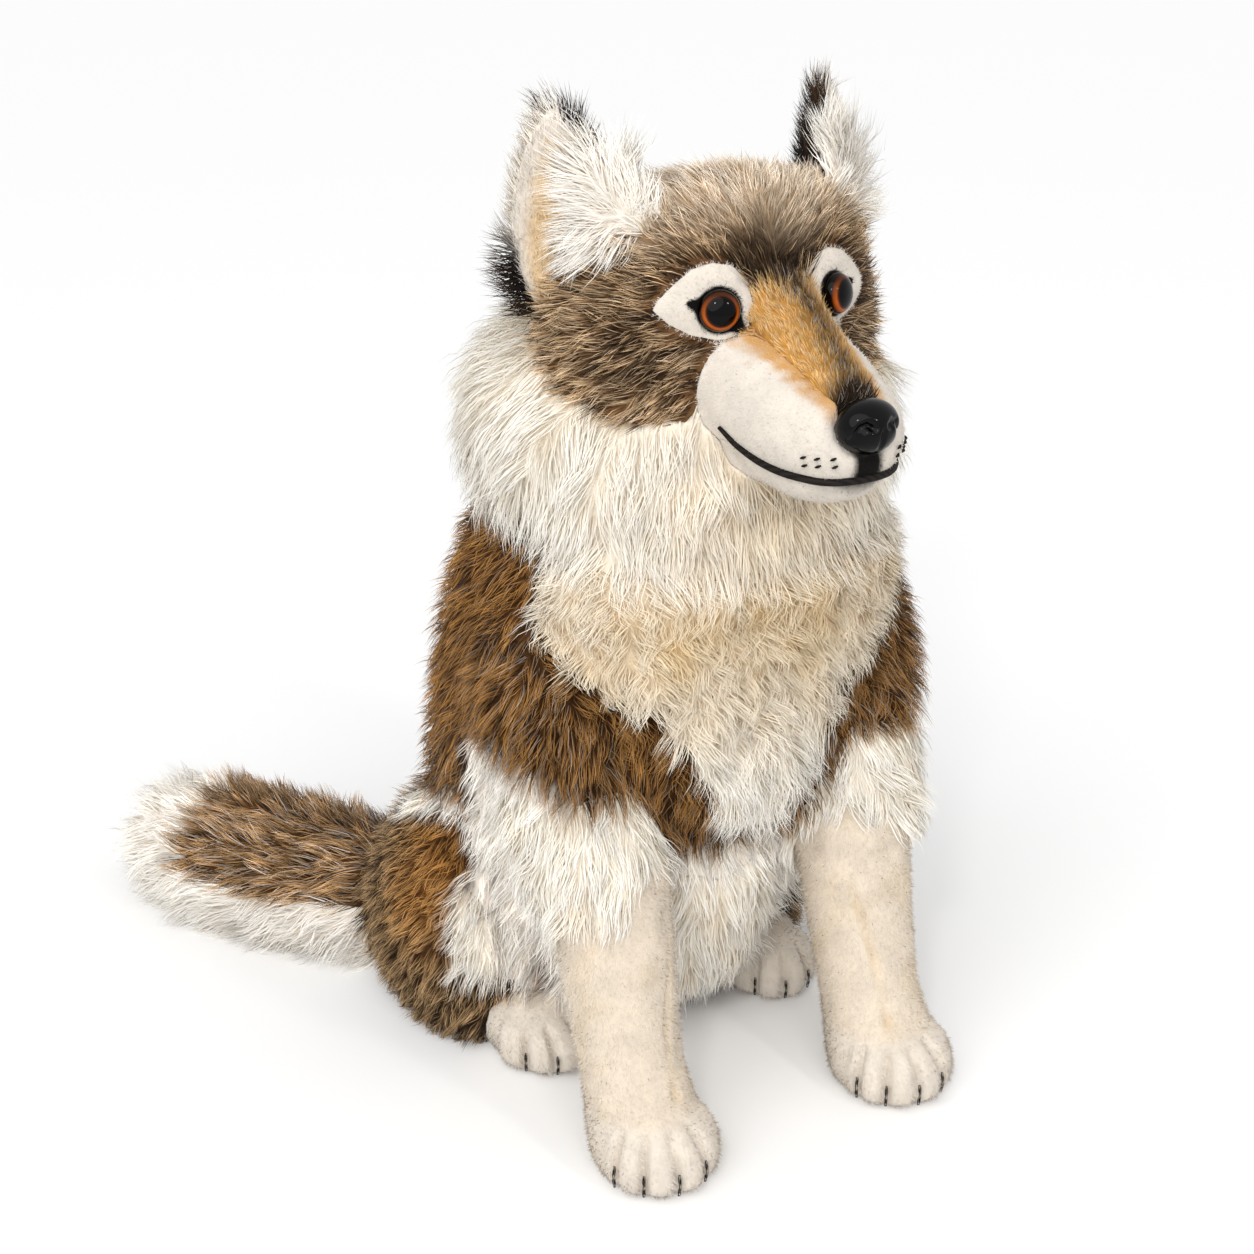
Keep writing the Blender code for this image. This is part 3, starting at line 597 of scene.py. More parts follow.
def shape_foot(node, p):
    """Swell the toes, draw them in at the claw stitches, and press in the seam of a front leg."""
    kind, side = kind_of(node), side_of(node)
    middle = np.array((side * FOOT_MIDDLE[kind][0], FOOT_MIDDLE[kind][1]))
    v = p[:, :2] - middle
    r = np.maximum(np.linalg.norm(v, axis=1), 1e-6)
    groove = np.zeros(len(p))
    for end in TOE_LINES[node]:
        d = (end - middle) / np.linalg.norm(end - middle)
        off = np.abs(v[:, 0] * d[1] - v[:, 1] * d[0])
        groove = np.maximum(groove, np.exp(-(off / 2.4) ** 2) * ease(12, 24, v @ d))
    top = FOOT_TOP[kind]
    toes = ease(top, top - 8, p[:, 2]) * ease(0.0, 0.5, -v[:, 1] / r)
    push = toes * (TOE_SWELL * (1 - groove) - TOE_GROOVE * groove) * ease(0, 8, p[:, 2])
    out = p.copy()
    out[:, :2] += v / r[:, None] * push[:, None]
    if kind == "front_leg":
        seam = leg_seam(p)
        out[:, 1] += SEAM_DEPTH * seam
        out[:, 0] += side * 0.8 * seam
    return out


def finer_shape(node, p):
    """Points of a cover or roots of a pile, moved to the finer shape of their piece."""
    if node == "nose_bridge":
        x, y, _ = p.T
        hump = BRIDGE_SWELL * np.exp(-((y + 168) / 15) ** 2 - (x / 15) ** 2)
        return p + np.outer(hump, (0, -0.55, 0.83))
    return shape_foot(node, p) if kind_of(node) in FOOT_MIDDLE else p


def length_share(node, p):
    """Length of the pile at each point, as a share of the length of its kind."""
    _, y, z = p.T
    kind = kind_of(node)
    across, up, _ = ear_place(side_of(node), p)
    if kind == "chest_bib":
        return np.interp(z, (165, 220, 262), (1.35, 1.1, 0.8))
    if kind == "nose_bridge":
        return 1 + 0.6 * ease(424, 434, z) + 0.3 * ease(-200, -210, y)
    if kind == "ear_lining":
        return 1 + 1.8 * ease(2, -8, across)
    if kind == "ear_tuft":
        return np.interp(across, (-38, -24, -8), (0.6, 0.9, 1.05)) * (1 + 0.3 * ease(30, 50, up))
    if kind == "ear_back":
        return 1 + 0.7 * ease(60, 80, up) + 0.9 * ease(32, 6, up)
    return np.ones(len(p))


def zone_weights(node, p, spare):
    """Weights of the second, third and fourth pair of colours at each point."""
    x, y, z = p.T
    w = np.zeros((len(p), 3))
    side = side_of(node)
    cloud = noise(p, 34.0, 5)
    fleck = noise(p, 11.0, 6)
    if node == "torso" or node.startswith(("shoulder", "tail_top")):
        deep = 0.6 if node.startswith("shoulder") else 0.3
        if node.startswith("shoulder"):
            deep = deep + 0.3 * ease(240, 190, z)
        w[:, 0] = ease(0.1, 0.85, cloud * 0.3 + fleck * 0.55 + deep + (spare - 0.5) * 1.3)
        w[:, 1] = ease(0.74, 0.95, spare) * (0.8 if node == "tail_top" else 0.28)
        w[:, 2] = ease(130, 230, z) * 0.7 if node == "torso" else 0.45
        pale = np.zeros(len(p))
        if node == "tail_top":
            pale = ease(-2, 2, (along_tail(p)[0] - TAIL_WHITE) * 250 + 3 * fleck)
        elif node.startswith("shoulder"):
            hem = np.interp(np.abs(x), (25, 84, 117, 135), (146, 184, 214, 230))
            pale = ease(hem + 5, hem - 4, z + 2 * fleck)
        elif node == "torso":
            back = np.interp(z, (110, 150), (-37, -46))
            cuff = ease(68, 78, np.abs(x)) * ease(back, back - 6, y) * ease(34, 40, z)
            pale = np.maximum(cuff * ease(212, 200, z), ease(-50, -60, y) * ease(146, 140, z))
            arc = thigh_arc(y)
            thigh = ease(88, 96, np.abs(x)) * ease(-60, -55, y) * ease(70, 50, y)
            thigh *= ease(arc + 3, arc - 2, z) * ease(60, 72, z)
            rim = np.maximum(thigh_fringe(p, 16, 10, fleck), ease(-24, -32, y + 2 * fleck))
            pale = np.maximum(pale, thigh * rim)
            pale = np.maximum(pale, inside_bib(p, 0))
            w[:, 0] *= 1 - 0.6 * thigh
            w[:, 2] = np.maximum(w[:, 2], thigh)
        w[:, 0] *= 1 - pale
        w[:, 2] *= 1 - pale
        w[:, 1] = np.maximum(w[:, 1], pale)
    elif node == "head":
        dark = spot(p, (0, -158, 442), (30, 32, 13)) * 0.9
        dark += spot(p, (0, -150, 456), (15, 30, 22)) * 0.5
        for s in SIDES.values():
            dark += spot(p, (s * 62, -150, 402), (26, 30, 20)) * 0.75
            dark += spot(p, (s * 44, -150, 450), (28, 26, 10)) * 0.55
            dark += spot(p, (s * 68, -128, 424), (24, 24, 18)) * 0.5
        grain = fleck * 0.5 + (spare - 0.5) * 1.5 + dark * 1.2 - 0.1
        w[:, 0] = ease(0.15, 0.85, grain) * 0.95
        crown = ease(444, 480, z + 6 * cloud) * ease(-176, -128, y)
        w[:, 1] = np.clip(crown * 0.95 + ease(0.34, 0.08, spare) * 0.55 * (1 - dark), 0, 1)
        w[:, 0] *= 1 - 0.75 * crown
        w[:, 2] = spot(p, (0, -164, 442), (21, 16, 7))
    elif node == "nose_bridge":
        line = np.exp(-((x - 2.0) / 7.5) ** 2) * (0.85 + 0.2 * fleck + 0.8 * (spare - 0.5))
        line += ease(430, 437, z) * 0.5 + ease(-202, -213, y) * 1.1
        w[:, 0] = np.clip(line, 0, 1)
        w[:, 1] = ease(0.6, 1.0, spare) * 0.35
    elif node in ("muzzle", "lower_jaw"):
        reach = np.interp(-y, (150, 185, 210, 222), (27, 21, 16, 11))
        upper = ease(0, 14, z - np.interp(-y, (140, 190, 215), (398, 390, 384)))
        w[:, 0] = ease(reach + 4, reach - 3, np.abs(x) + 2 * fleck) * upper * 0.9
        under = ease(-212, -222, y) * ease(384, 376, z)
        beside = np.interp(z, (352, 357, 362, 366, 378), (0, 5, 15, 8, 7))
        w[:, 1] = ease(beside + 2, beside - 2.5, np.abs(x) + 1.5 * (spare - 0.5)) * under
    elif node.startswith("eye_patch"):
        w[:, 1] = eye_liner(node.rsplit("_", 1)[1], p)
    elif node == "chest_bib":
        w[:, 0] = 0.2 + 0.75 * spot(p, (-15, -150, 275), (105, 95, 42)) * (0.85 + 0.3 * cloud)
        w[:, 0] *= ease(190, 225, z)
        w[:, 1] = ease(-1.5, 1.5, np.abs(x) + 2 * fleck - bib_half(z))
    elif node == "belly" or node.startswith("sleeve"):
        w[:, 0] = 0.25 * ease(0.1, 1.0, cloud)
    elif node == "neck_ruff":
        w[:, 0] = ease(0.4, 1.0, cloud) * 0.12 + ease(316, 298, z) * 0.25
        # Painted shade: the middle front of the ruff under the chin is beiger, standing in for the
        # shadow that the muzzle and jaw cast on it.
        w[:, 0] += 0.45 * spot(p, (0, -160, 335), (60, 60, 40))
    elif node.startswith("haunch"):
        w[:, 0] = spot(p, (side * 124, -10, 98), (60, 30, 36)) * (1.05 + 0.3 * fleck)
        front = ease(-22, -31, y + 2 * fleck) * ease(44, 54, z)
        w[:, 1] = np.maximum(front, thigh_fringe(p, 14, 8, fleck))
        w[:, 2] = ease(0.1, 0.9, fleck * 0.5 + (spare - 0.4) * 1.4 + ease(70, 30, z) * 0.3)
        w[:, 2] *= (1 - w[:, 1]) * (1 - 0.5 * w[:, 0])
    elif node.startswith("ear_lining"):
        across, up, _ = ear_place(side, p)
        w[:, 0] = np.exp(-((across - 6) / 8) ** 2 - ((up - 30) / 26) ** 2) * 0.8
        w[:, 1] = np.maximum(ease(3, -5, across), ease(0.5, 0.8, across / ear_half(up)))
        w[:, 1] = np.maximum(w[:, 1], ease(56, 68, up))
    elif node.startswith("ear_back"):
        across, up, front = ear_place(side, p)
        rim = ease(0.3, 0.5, across / ear_half(up)) * ease(-5.5, -3.5, front)
        rim = np.maximum(rim, ease(-2, 2, front))
        start = np.interp(up, (52, 64), (-0.1, 0.42))
        w[:, 0] = rim * ease(start, start + 0.3, across / ear_half(up)) * ease(10, 26, up)
    elif node.startswith(("front_leg", "hind_foot")):
        # Random beige clouding, and along the seam a beiger line that is painted shade in its
        # groove.
        w[:, 0] = ease(0.2, 1.0, cloud) * 0.15 + leg_seam(p) * 0.9
        w[:, 1] = ease(40, 30, z) * 0.8
    return np.clip(w, 0, 1)


def write_colours(mesh, zones, strand):
    """Store the zone weights and the height, tone and spare value of each vertex."""
    for name, values in (("zones", zones), ("strand", strand)):
        layer = mesh.color_attributes.new(name, "FLOAT_COLOR", "POINT")
        flat = np.ones((len(values), 4), np.float32)
        flat[:, :3] = values
        layer.data.foreach_set("color", flat.ravel())


TAPER = {2: (1.0, 0.7), 3: (1.0, 0.85, 0.5)}
RIBBON_TWIST = 1.7
ROOT_SINK = 0.6 * MM
PILE_FLOOR = 0.4 * MM


def ribbon_faces(levels):
    """Corners of the faces of one ribbon, the size of each face, and each corner's place on it."""
    corner, sizes, u, v = [], [], [], []
    for k in range(levels - 1):
        a = 2 * k
        corner += [a, a + 1, a + 3, a + 2]
        sizes.append(4)
        u += [0, 1, 1, 0]
        v += [k, k, k + 1, k + 1]
    a = 2 * (levels - 1)
    corner += [a, a + 1, a + 2]
    sizes.append(3)
    u += [0, 1, 0.5]
    v += [levels - 1, levels - 1, levels]
    return np.array(corner), sizes, np.array(u), np.array(v)


def ribbon_mesh(name, line, wide, outward, zones, tone, spare):
    """One mesh of tapered ribbons: line holds the middle of each ribbon at every bend."""
    count, levels = line.shape[0], line.shape[1] - 1
    way = unit(np.gradient(line, axis=1))
    across = unit(np.cross(way, outward[:, None, :]))
    flat = unit(np.cross(across, way))
    angle = (spare[:, None, None] - 0.5) * RIBBON_TWIST
    across = across * np.cos(angle) + flat * np.sin(angle)
    half = wide[:, None, None] * np.array(TAPER[levels])[None, :, None] * 0.5
    per = 2 * levels + 1
    verts = np.empty((count, per, 3))
    verts[:, 0:2 * levels:2] = line[:, :levels] - across[:, :levels] * half
    verts[:, 1:2 * levels:2] = line[:, :levels] + across[:, :levels] * half
    verts[:, -1] = line[:, -1]
    corner, sizes, u, v = ribbon_faces(levels)
    loops = (corner[None] + per * np.arange(count)[:, None]).ravel()
    mesh = bpy.data.meshes.new(name)
    mesh.vertices.add(count * per)
    mesh.vertices.foreach_set("co", verts.astype(np.float32).ravel())
    mesh.loops.add(len(loops))
    mesh.loops.foreach_set("vertex_index", loops.astype(np.int32))
    starts = np.concatenate([[0], np.cumsum(np.tile(sizes, count))])[:-1]
    mesh.polygons.add(len(starts))
    mesh.polygons.foreach_set("loop_start", starts.astype(np.int32))
    mesh.polygons.foreach_set("use_smooth", np.ones(len(starts), bool))
    # Each ribbon has a small square of its own on the OFBake map, where no other ribbon lies.
    grid = math.ceil(math.sqrt(count))
    cell = np.arange(count)
    uv = np.empty((count, len(u), 2), np.float32)
    uv[:, :, 0] = ((cell % grid)[:, None] + 0.15 + 0.7 * u[None]) / grid
    uv[:, :, 1] = ((cell // grid)[:, None] + 0.15 + 0.7 * v[None] / levels) / grid
    mesh.uv_layers.new(name="OFBake").data.foreach_set("uv", uv.ravel())
    mesh.update(calc_edges=True)
    height = np.append(np.repeat(np.arange(levels), 2) / levels, 1.0)
    strand = [np.tile(height, count), np.repeat(tone, per), np.repeat(spare, per)]
    write_colours(mesh, np.repeat(zones, per, axis=0), np.stack(strand, 1))
    # The shading leans outward, so that the pile looks soft and its ribbons don't glitter.
    ribbon_out = np.repeat(flat[:, :1], per, axis=1)
    soft = unit(outward[:, None, :] * 0.75 + ribbon_out * 0.35).reshape(-1, 3)
    mesh.normals_split_custom_set_from_vertices(soft.tolist())
    return add_object(name, mesh)


def lock_guides(pile, roots, rng):
    """The root that leads each fibre: the nearest of a few that are chosen at random."""
    count = len(roots)
    spacing = pile.lock * MM
    area = count / (pile.dense * 1e4)
    guides = min(count, max(8, int(area / (spacing * spacing))))
    chosen = np.sort(rng.choice(count, guides, replace=False))
    tree = KDTree(guides)
    for k, index in enumerate(chosen):
        tree.insert(Vector(roots[index]), k)
    tree.balance()
    return chosen[np.array([tree.find(Vector(p))[1] for p in roots])]


def grow_pile(name, pile, roots, normals, way, length, zones, rng):
    """Grow the ribbons of one node from their roots, all in metres."""
    count = len(roots)
    bends = pile.bends
    length = length * (1 + pile.vary * rng.uniform(-1, 1, count))
    lift = np.clip(pile.lift * (1 + 0.35 * rng.uniform(-1, 1, count)), 0.05, 0.95)[:, None]
    jitter = rng.normal(size=(count, 3)) * pile.stray
    guide = lock_guides(pile, roots, rng) if pile.lock else np.arange(count)
    phase = rng.uniform(0, 2 * math.pi, count)[guide]
    swing, lock_tone = np.zeros(count), 1.0
    if pile.lock:
        swing = rng.normal(size=count)[guide] * 0.16
        lock_tone = 1 + pile.tone * 0.8 * rng.uniform(-1, 1, count)[guide]
    sideways = np.cross(normals, way)
    down = np.array((0.0, 0.0, -1.0))
    line = np.empty((count, bends + 1, 3))
    line[:, 0] = roots - normals * ROOT_SINK
    for k in range(bends):
        t = (k + 0.5) / bends
        rise = lift * (1.25 - 0.75 * t)
        step = normals * rise + way * (1 - lift) + jitter + down * (pile.sag * 2 * t)
        step = step + sideways * swing[:, None]
        line[:, k + 1] = line[:, k] + unit(step) * (length / bends)[:, None]
    for k in range(1, bends + 1):
        t = k / bends
        bend = np.sin(phase + 4.2 * t) - np.sin(phase)
        line[:, k] += sideways * (bend * pile.wave * MM * t)[:, None]
    if pile.lock:
        leader = line[guide].copy()
        for k in range(1, bends + 1):
            pull = pile.gather * (k / bends) ** 1.3 * rng.uniform(0.6, 1.2, count)
            line[:, k] += (leader[:, k] - line[:, k]) * np.clip(pull, 0, 0.95)[:, None]
    height = line[:, :, 2]
    laid = PILE_FLOOR + 0.01 * np.abs(height - PILE_FLOOR)
    line[:, :, 2] = np.where(height < PILE_FLOOR, laid, height)
    tone = lock_tone * (1 + pile.tone * rng.uniform(-1, 1, count))
    wide = pile.width * MM * rng.uniform(0.7, 1.25, count)
    return ribbon_mesh(name, line, wide, normals, zones, tone, rng.random(count))


# Materials

BROWN_FUR = ("acrylic_faux_fur_brown", (BROWN, DARK, WHITE, WARM_BROWN))
CREAM_FUR = ("acrylic_faux_fur_cream", (CREAM, BEIGE))
WHITE_FUR = ("acrylic_faux_fur_white", (WHITE,))
WHITE_PLUSH = ("polyester_plush_white", (SHORT_WHITE, GOLD, BLACK))
CREAM_PLUSH = ("polyester_plush_cream", (SHORT_CREAM, BEIGE, SHORT_WHITE))
PILE_COLOURS = {
    "torso": BROWN_FUR, "shoulder": BROWN_FUR, "neck_ruff": CREAM_FUR, "belly": CREAM_FUR,
    "sleeve": CREAM_FUR, "tail": WHITE_FUR, "ear_tuft": WHITE_FUR, "muzzle": WHITE_PLUSH,
    "lower_jaw": WHITE_PLUSH, "eye_patch": WHITE_PLUSH, "front_leg": CREAM_PLUSH,
    "hind_foot": CREAM_PLUSH,
    "chest_bib": ("acrylic_faux_fur_curly_cream", (CREAM, BEIGE, BROWN)),
    "head": ("acrylic_faux_fur_grey_brown", (GREY_BROWN, DARK, CROWN, BLACK)),
    "nose_bridge": ("polyester_plush_gold", (GOLD, DARK, SHORT_CREAM)),
    "tail_top": ("acrylic_faux_fur_tail", (GREY_BROWN, DARK, WHITE, WARM_BROWN)),
    "haunch": ("acrylic_faux_fur_thigh", (UMBER, RUST, CREAM, DARK)),
    "ear_back": ("acrylic_faux_fur_dark", (DARK, WHITE)),
    "ear_lining": ("polyester_plush_lining", (LINING, BEIGE, SHORT_WHITE)),
}
PLUSH_TUFT, FUR_TUFT = 1.6, 3.0
MATERIALS = {}


def pile_finish(kind, cover):
    """The material of a kind of pile, for its fibres or for the cover under them."""
    name, pairs = PILE_COLOURS[kind]
    key = name + ("_backing" if cover else "")
    if key not in MATERIALS:
        tuft = PLUSH_TUFT if name.startswith("polyester") else FUR_TUFT
        MATERIALS[key] = pile_material(key, pairs, tuft, cover)
    return MATERIALS[key]


def moulded_eye_material(name, centre, axis, radius):
    """Acrylic safety eye: a clear dome over a painted disc, so it mirrors the room sharply.

    Black pupil, amber iris that is brightest near its middle, and a thin black rim. The upper part
    of the iris is darkened towards black as painted shade under the lid and brow.
    """
    mat, tree, shader = new_material(name, {
        "Roughness": 0.05, "IOR": 1.49, "Specular IOR Level": 0.12,
    })
    upward = np.cross(axis, unit(np.cross((0, 0, 1), axis)))
    place = add_node(tree, "ShaderNodeTexCoord").outputs["Object"]
    off = add_node(
        tree, "ShaderNodeVectorMath", {1: tuple(centre)}, {0: place}, operation="SUBTRACT",
    ).outputs[0]
    side_on = add_node(
        tree, "ShaderNodeVectorMath", {1: tuple(axis)}, {0: off}, operation="CROSS_PRODUCT",
    ).outputs[0]
    reach = add_node(
        tree, "ShaderNodeVectorMath", (), {0: side_on}, operation="LENGTH",
    ).outputs["Value"]
    share = add_node(
        tree, "ShaderNodeMath", {1: 1 / radius}, {0: reach}, operation="MULTIPLY",
    ).outputs[0]
    ramp = add_node(tree, "ShaderNodeValToRGB", (), {0: share})
    stops = (
        (0.0, "020202"), (0.62, "030202"), (0.70, "3A1606"), (0.78, "B4581A"),
        (0.86, "A04C12"), (0.93, "1E0A04"), (0.97, "030202"),
    )
    bar = ramp.color_ramp.elements
    while len(bar) < len(stops):
        bar.new(0.5)
    for element, (at, colour) in zip(bar, stops):
        element.position = at
        element.color = linear(colour)
    # Painted shade: the iris is mixed towards black over its upper part, where the black edging and
    # brow would shade it.
    above = add_node(
        tree, "ShaderNodeVectorMath", {1: tuple(upward)}, {0: off}, operation="DOT_PRODUCT",
    ).outputs["Value"]
    shade = add_node(
        tree, "ShaderNodeMapRange", {1: -0.3 * radius, 2: 0.75 * radius, 3: 0.0, 4: 0.85},
        {0: above},
    ).outputs[0]
    iris = add_node(
        tree, "ShaderNodeMix", {SECOND: linear("050302")},
        {FACTOR: shade, FIRST: ramp.outputs[0]}, data_type="RGBA",
    )
    tree.links.new(iris.outputs[MIXED], shader.inputs["Base Color"])
    return mat


def moulded_nose_material():
    """Glossy black ABS: a sharp highlight with a faint moulded grain of about a millimetre."""
    mat, tree, shader = new_material("moulded_abs_black", {
        "Roughness": 0.09, "IOR": 1.53, "Specular IOR Level": 0.12,
    })
    place = add_node(tree, "ShaderNodeTexCoord").outputs["Object"]
    grain = add_node(
        tree, "ShaderNodeTexNoise", {"Scale": 1 / (1.4 * MM), "Detail": 2.0}, {"Vector": place},
    ).outputs[0]
    bump = add_node(
        tree, "ShaderNodeBump", {"Strength": 0.12, "Distance": 0.2 * MM}, {"Height": grain},
    )
    tone = add_node(
        tree, "ShaderNodeMix", {FIRST: linear("030303"), SECOND: linear("080707")},
        {FACTOR: grain}, data_type="RGBA",
    )
    tree.links.new(tone.outputs[MIXED], shader.inputs["Base Color"])
    tree.links.new(bump.outputs[0], shader.inputs["Normal"])
    return mat


def thread_material():
    """Black polyester thread: matt, with the twist of its plies every 1.2 mm."""
    mat, tree, shader = new_material("polyester_thread_black", {
        "Roughness": 0.7, "Specular IOR Level": 0.15,
    })
    place = add_node(tree, "ShaderNodeTexCoord").outputs["Object"]
    twist = add_node(
        tree, "ShaderNodeTexWave", {"Scale": 1 / (7.5 * MM), "Distortion": 1.5},
        {"Vector": place}, bands_direction="DIAGONAL",
    ).outputs[1]
    bump = add_node(
        tree, "ShaderNodeBump", {"Strength": 0.5, "Distance": 0.25 * MM}, {"Height": twist},
    )
    tone = add_node(
        tree, "ShaderNodeMix", {FIRST: linear("0C0A09"), SECOND: linear("221C18")},
        {FACTOR: twist}, data_type="RGBA",
    )
    tree.links.new(tone.outputs[MIXED], shader.inputs["Base Color"])
    tree.links.new(bump.outputs[0], shader.inputs["Normal"])
    return mat


def washer_material(name):
    """Moulded polypropylene: milky white and satin, clouded every few millimetres."""
    mat, tree, shader = new_material(name, {"Roughness": 0.45})
    clouding = add_node(tree, "ShaderNodeTexNoise", {"Scale": 1 / (3 * MM)})
    tone = add_node(
        tree, "ShaderNodeMix", {FIRST: linear("DDDBD4"), SECOND: linear("ECEAE4")},
        {FACTOR: clouding.outputs[0]}, data_type="RGBA",
    )
    tree.links.new(tone.outputs[MIXED], shader.inputs["Base Color"])
    return mat


# Making the covers and the pile

skin, skin_co, skin_tri, nodes_at = whole_skin()
skin_normal = vertex_normals(skin_co, skin_tri)
skin_tree = search_tree(skin_co, skin_tri)
tri_middle = skin_co[skin_tri].mean(1)
tri_area = np.linalg.norm(face_crosses(skin_co, skin_tri), axis=1) / 2
tri_owner = nodes_at(tri_middle)

# The cream chest keeps an unbroken outline: no brown pile grows well inside it.
BIB_MARGIN = 2.0
in_bib = (inside_bib(tri_middle / MM, BIB_MARGIN) > 0.5) & (tri_owner == SOFT.index("torso"))
tri_owner[in_bib] = SOFT.index("chest_bib")

thread_tree = search_tree(*joined_arrays(THREADS)[:2])
hard_tree = search_tree(*joined_arrays(["eye_left", "eye_right", "nose"])[:2])
BARE_FLOOR = 2.4 * MM
BARE_BY_THREAD = 2.0 * MM
BARE_BY_PLASTIC = 0.9 * MM


def bare(p):
    """True where no pile grows: on the floor, at the eyes, the nose and the stitches."""
    out = p[:, 2] < BARE_FLOOR
    for k in np.flatnonzero(~out):
        at = Vector(p[k])
        by_thread = thread_tree.find_nearest(at, BARE_BY_THREAD)[0] is not None
        out[k] = by_thread or hard_tree.find_nearest(at, BARE_BY_PLASTIC)[0] is not None
    return out


def sample_roots(node, dense, rng):
    """Evenly spread points on the skin of one node, with their normals."""
    own = np.flatnonzero(tri_owner == SOFT.index(node))
    area = tri_area[own]
    edge = np.cumsum(area)
    count = int(edge[-1] * 1e4 * dense)
    at = (np.arange(count) + rng.random(count)) * edge[-1] / count
    chosen = own[np.minimum(np.searchsorted(edge, at), len(own) - 1)]
    u, v = rng.random(count), rng.random(count)
    flip = u + v > 1
    u[flip], v[flip] = 1 - u[flip], 1 - v[flip]
    corner = skin_tri[chosen]
    share = np.stack([1 - u - v, u, v], 1)[:, :, None]
    p = (skin_co[corner] * share).sum(1)
    n = unit((skin_normal[corner] * share).sum(1))
    return p, n


def cover_details(obj, node):
    """Zone weights for the cover itself, at the height where the pile is seen from above."""
    co, _ = mesh_arrays(obj)
    middle = np.full(len(co), 0.5)
    # The cover takes the colour near the root, which is darker partly by the pile's own colour and
    # partly as painted shade under the fibres.
    strand = np.stack([middle * 0.5, middle * 2, middle], 1)
    write_colours(obj.data, zone_weights(node, co / MM, middle), strand)


def triangle_count(obj):
    return sum(len(face.vertices) - 2 for face in obj.data.polygons)


# Share of its faces that a cover keeps, and rounds in which it is made finer.
FEWER = {"torso": 0.35, "neck_ruff": 0.4, "tail": 0.5, "tail_top": 0.5, "head": 0.7,
         "haunch": 0.5, "chest_bib": 0.6}
FINER = {"nose_bridge": 1, "eye_patch": 2, "muzzle": 1, "front_leg": 1, "hind_foot": 1,
         "chest_bib": 1}

triangles = {}
for number, node in enumerate(SOFT):
    kind = kind_of(node)
    cover = closed_cover(node, skin, FEWER.get(kind, 1.0))
    if kind in FINER:
        rounds = FINER[kind]
        reshape(cover, "SUBSURF", subdivision_type="SIMPLE", levels=rounds, render_levels=rounds)
        co, _ = mesh_arrays(cover)
        shaped = finer_shape(node, co / MM) * MM
        cover.data.vertices.foreach_set("co", shaped.astype(np.float32).ravel())
        cover.data.update()
    cover_details(cover, node)
    cover.data.materials.append(pile_finish(kind, True))
    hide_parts(node)
    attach(cover, "root")
    triangles[cover.name] = triangle_count(cover)

    rng = np.random.default_rng(SEED + number)
    pile = PILES[kind]
    dense = pile.dense * 1.0
    p, n = sample_roots(node, dense, rng)
    keep = ~bare(p)
    p, n = p[keep], n[keep]
    way = brushed(node, p / MM, n)
    zones = zone_weights(node, p / MM, rng.random(len(p)))
    length = pile.length * MM * length_share(node, p / MM)
    p = finer_shape(node, p / MM) * MM
    fur = grow_pile(node + "_pile", pile, p, n, way, length, zones, rng)
    fur.data.materials.append(pile_finish(kind, False))
    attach(fur, "root")
    triangles[fur.name] = triangle_count(fur)
bpy.data.objects.remove(skin)


# Eyes, nose and thread

THREAD = thread_material()


def ring_points(centre, across, upward, radius, around):
    """Points of a ring in metres, from sizes in millimetres."""
    points = []
    for k in range(around):
        a = 2 * math.pi * k / around
        spoke = across * math.cos(a) + upward * math.sin(a)
        points.append((centre + spoke * radius) * MM)
    return points


def ring_faces(rings, around):
    """Faces between rings of points, closed at both ends."""
    faces = []
    for r in range(rings - 1):
        for k in range(around):
            a, b = r * around + k, r * around + (k + 1) % around
            faces.append((a, b, b + around, a + around))
    faces.append(tuple(reversed(range(around))))
    faces.append(tuple(range((rings - 1) * around, rings * around)))
    return faces


def own_piece(obj, slot_name, material, *nodes):
    """Give a made piece its finish and its place in the table."""
    obj.data.materials.append(material)
    if nodes:
        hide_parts(*nodes)
    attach(obj, "root")
    triangles[obj.name] = triangle_count(obj)


EYE_STEM = ((-16.0, 2.0), (-15.6, 2.2), (-0.5, 2.2), (-0.3, 9.2), (0.4, EYE_RADIUS))
EYE_DOME = 6.6
EYE_AROUND = 56


def make_eyes():
    """Domed eyes with a stem, turned from distances along the axis and radii."""
    profile = list(EYE_STEM)
    for k in range(1, 16):
        a = math.pi / 2 * k / 15.5
        profile.append((0.8 + EYE_DOME * math.sin(a), EYE_RADIUS * math.cos(a) ** 0.86))
    for label in SIDES:
        axis = unit(EYE_AXIS[label])
        centre = EYE_CENTRE[label]
        across = unit(np.cross((0, 0, 1), axis))
        upward = np.cross(axis, across)
        verts = []
        for along, radius in profile:
            verts += ring_points(centre + axis * along, across, upward, radius, EYE_AROUND)
        obj = new_object("eye_dome_" + label, verts, ring_faces(len(profile), EYE_AROUND))
        finish = moulded_eye_material(
            "moulded_acrylic_eye_" + label, centre * MM, EYE_AXIS[label], EYE_RADIUS * MM,
        )
        own_piece(obj, "eye_plastic", finish, "eye_" + label)


NOSE_CENTRE = np.array((0.0, -220.0, 387.5))
NOSE_LIFT = 8.0
NOSE_AROUND, NOSE_ROWS = 96, 60
NOSE_STEM = ((-24.0, 2.6), (-9.2, 2.6))
NOSE_WIDE, NOSE_TALL, NOSE_FRONT, NOSE_BACK = 14.6, 12.4, 12.0, 9.0
NOSTRIL = np.array(((4.6, 1.2), (6.4, 2.6), (8.8, 1.8), (10.6, -0.8), (11.4, -3.6)))
NOSTRIL_DEPTH, GROOVE_DEPTH = 2.6, 1.3


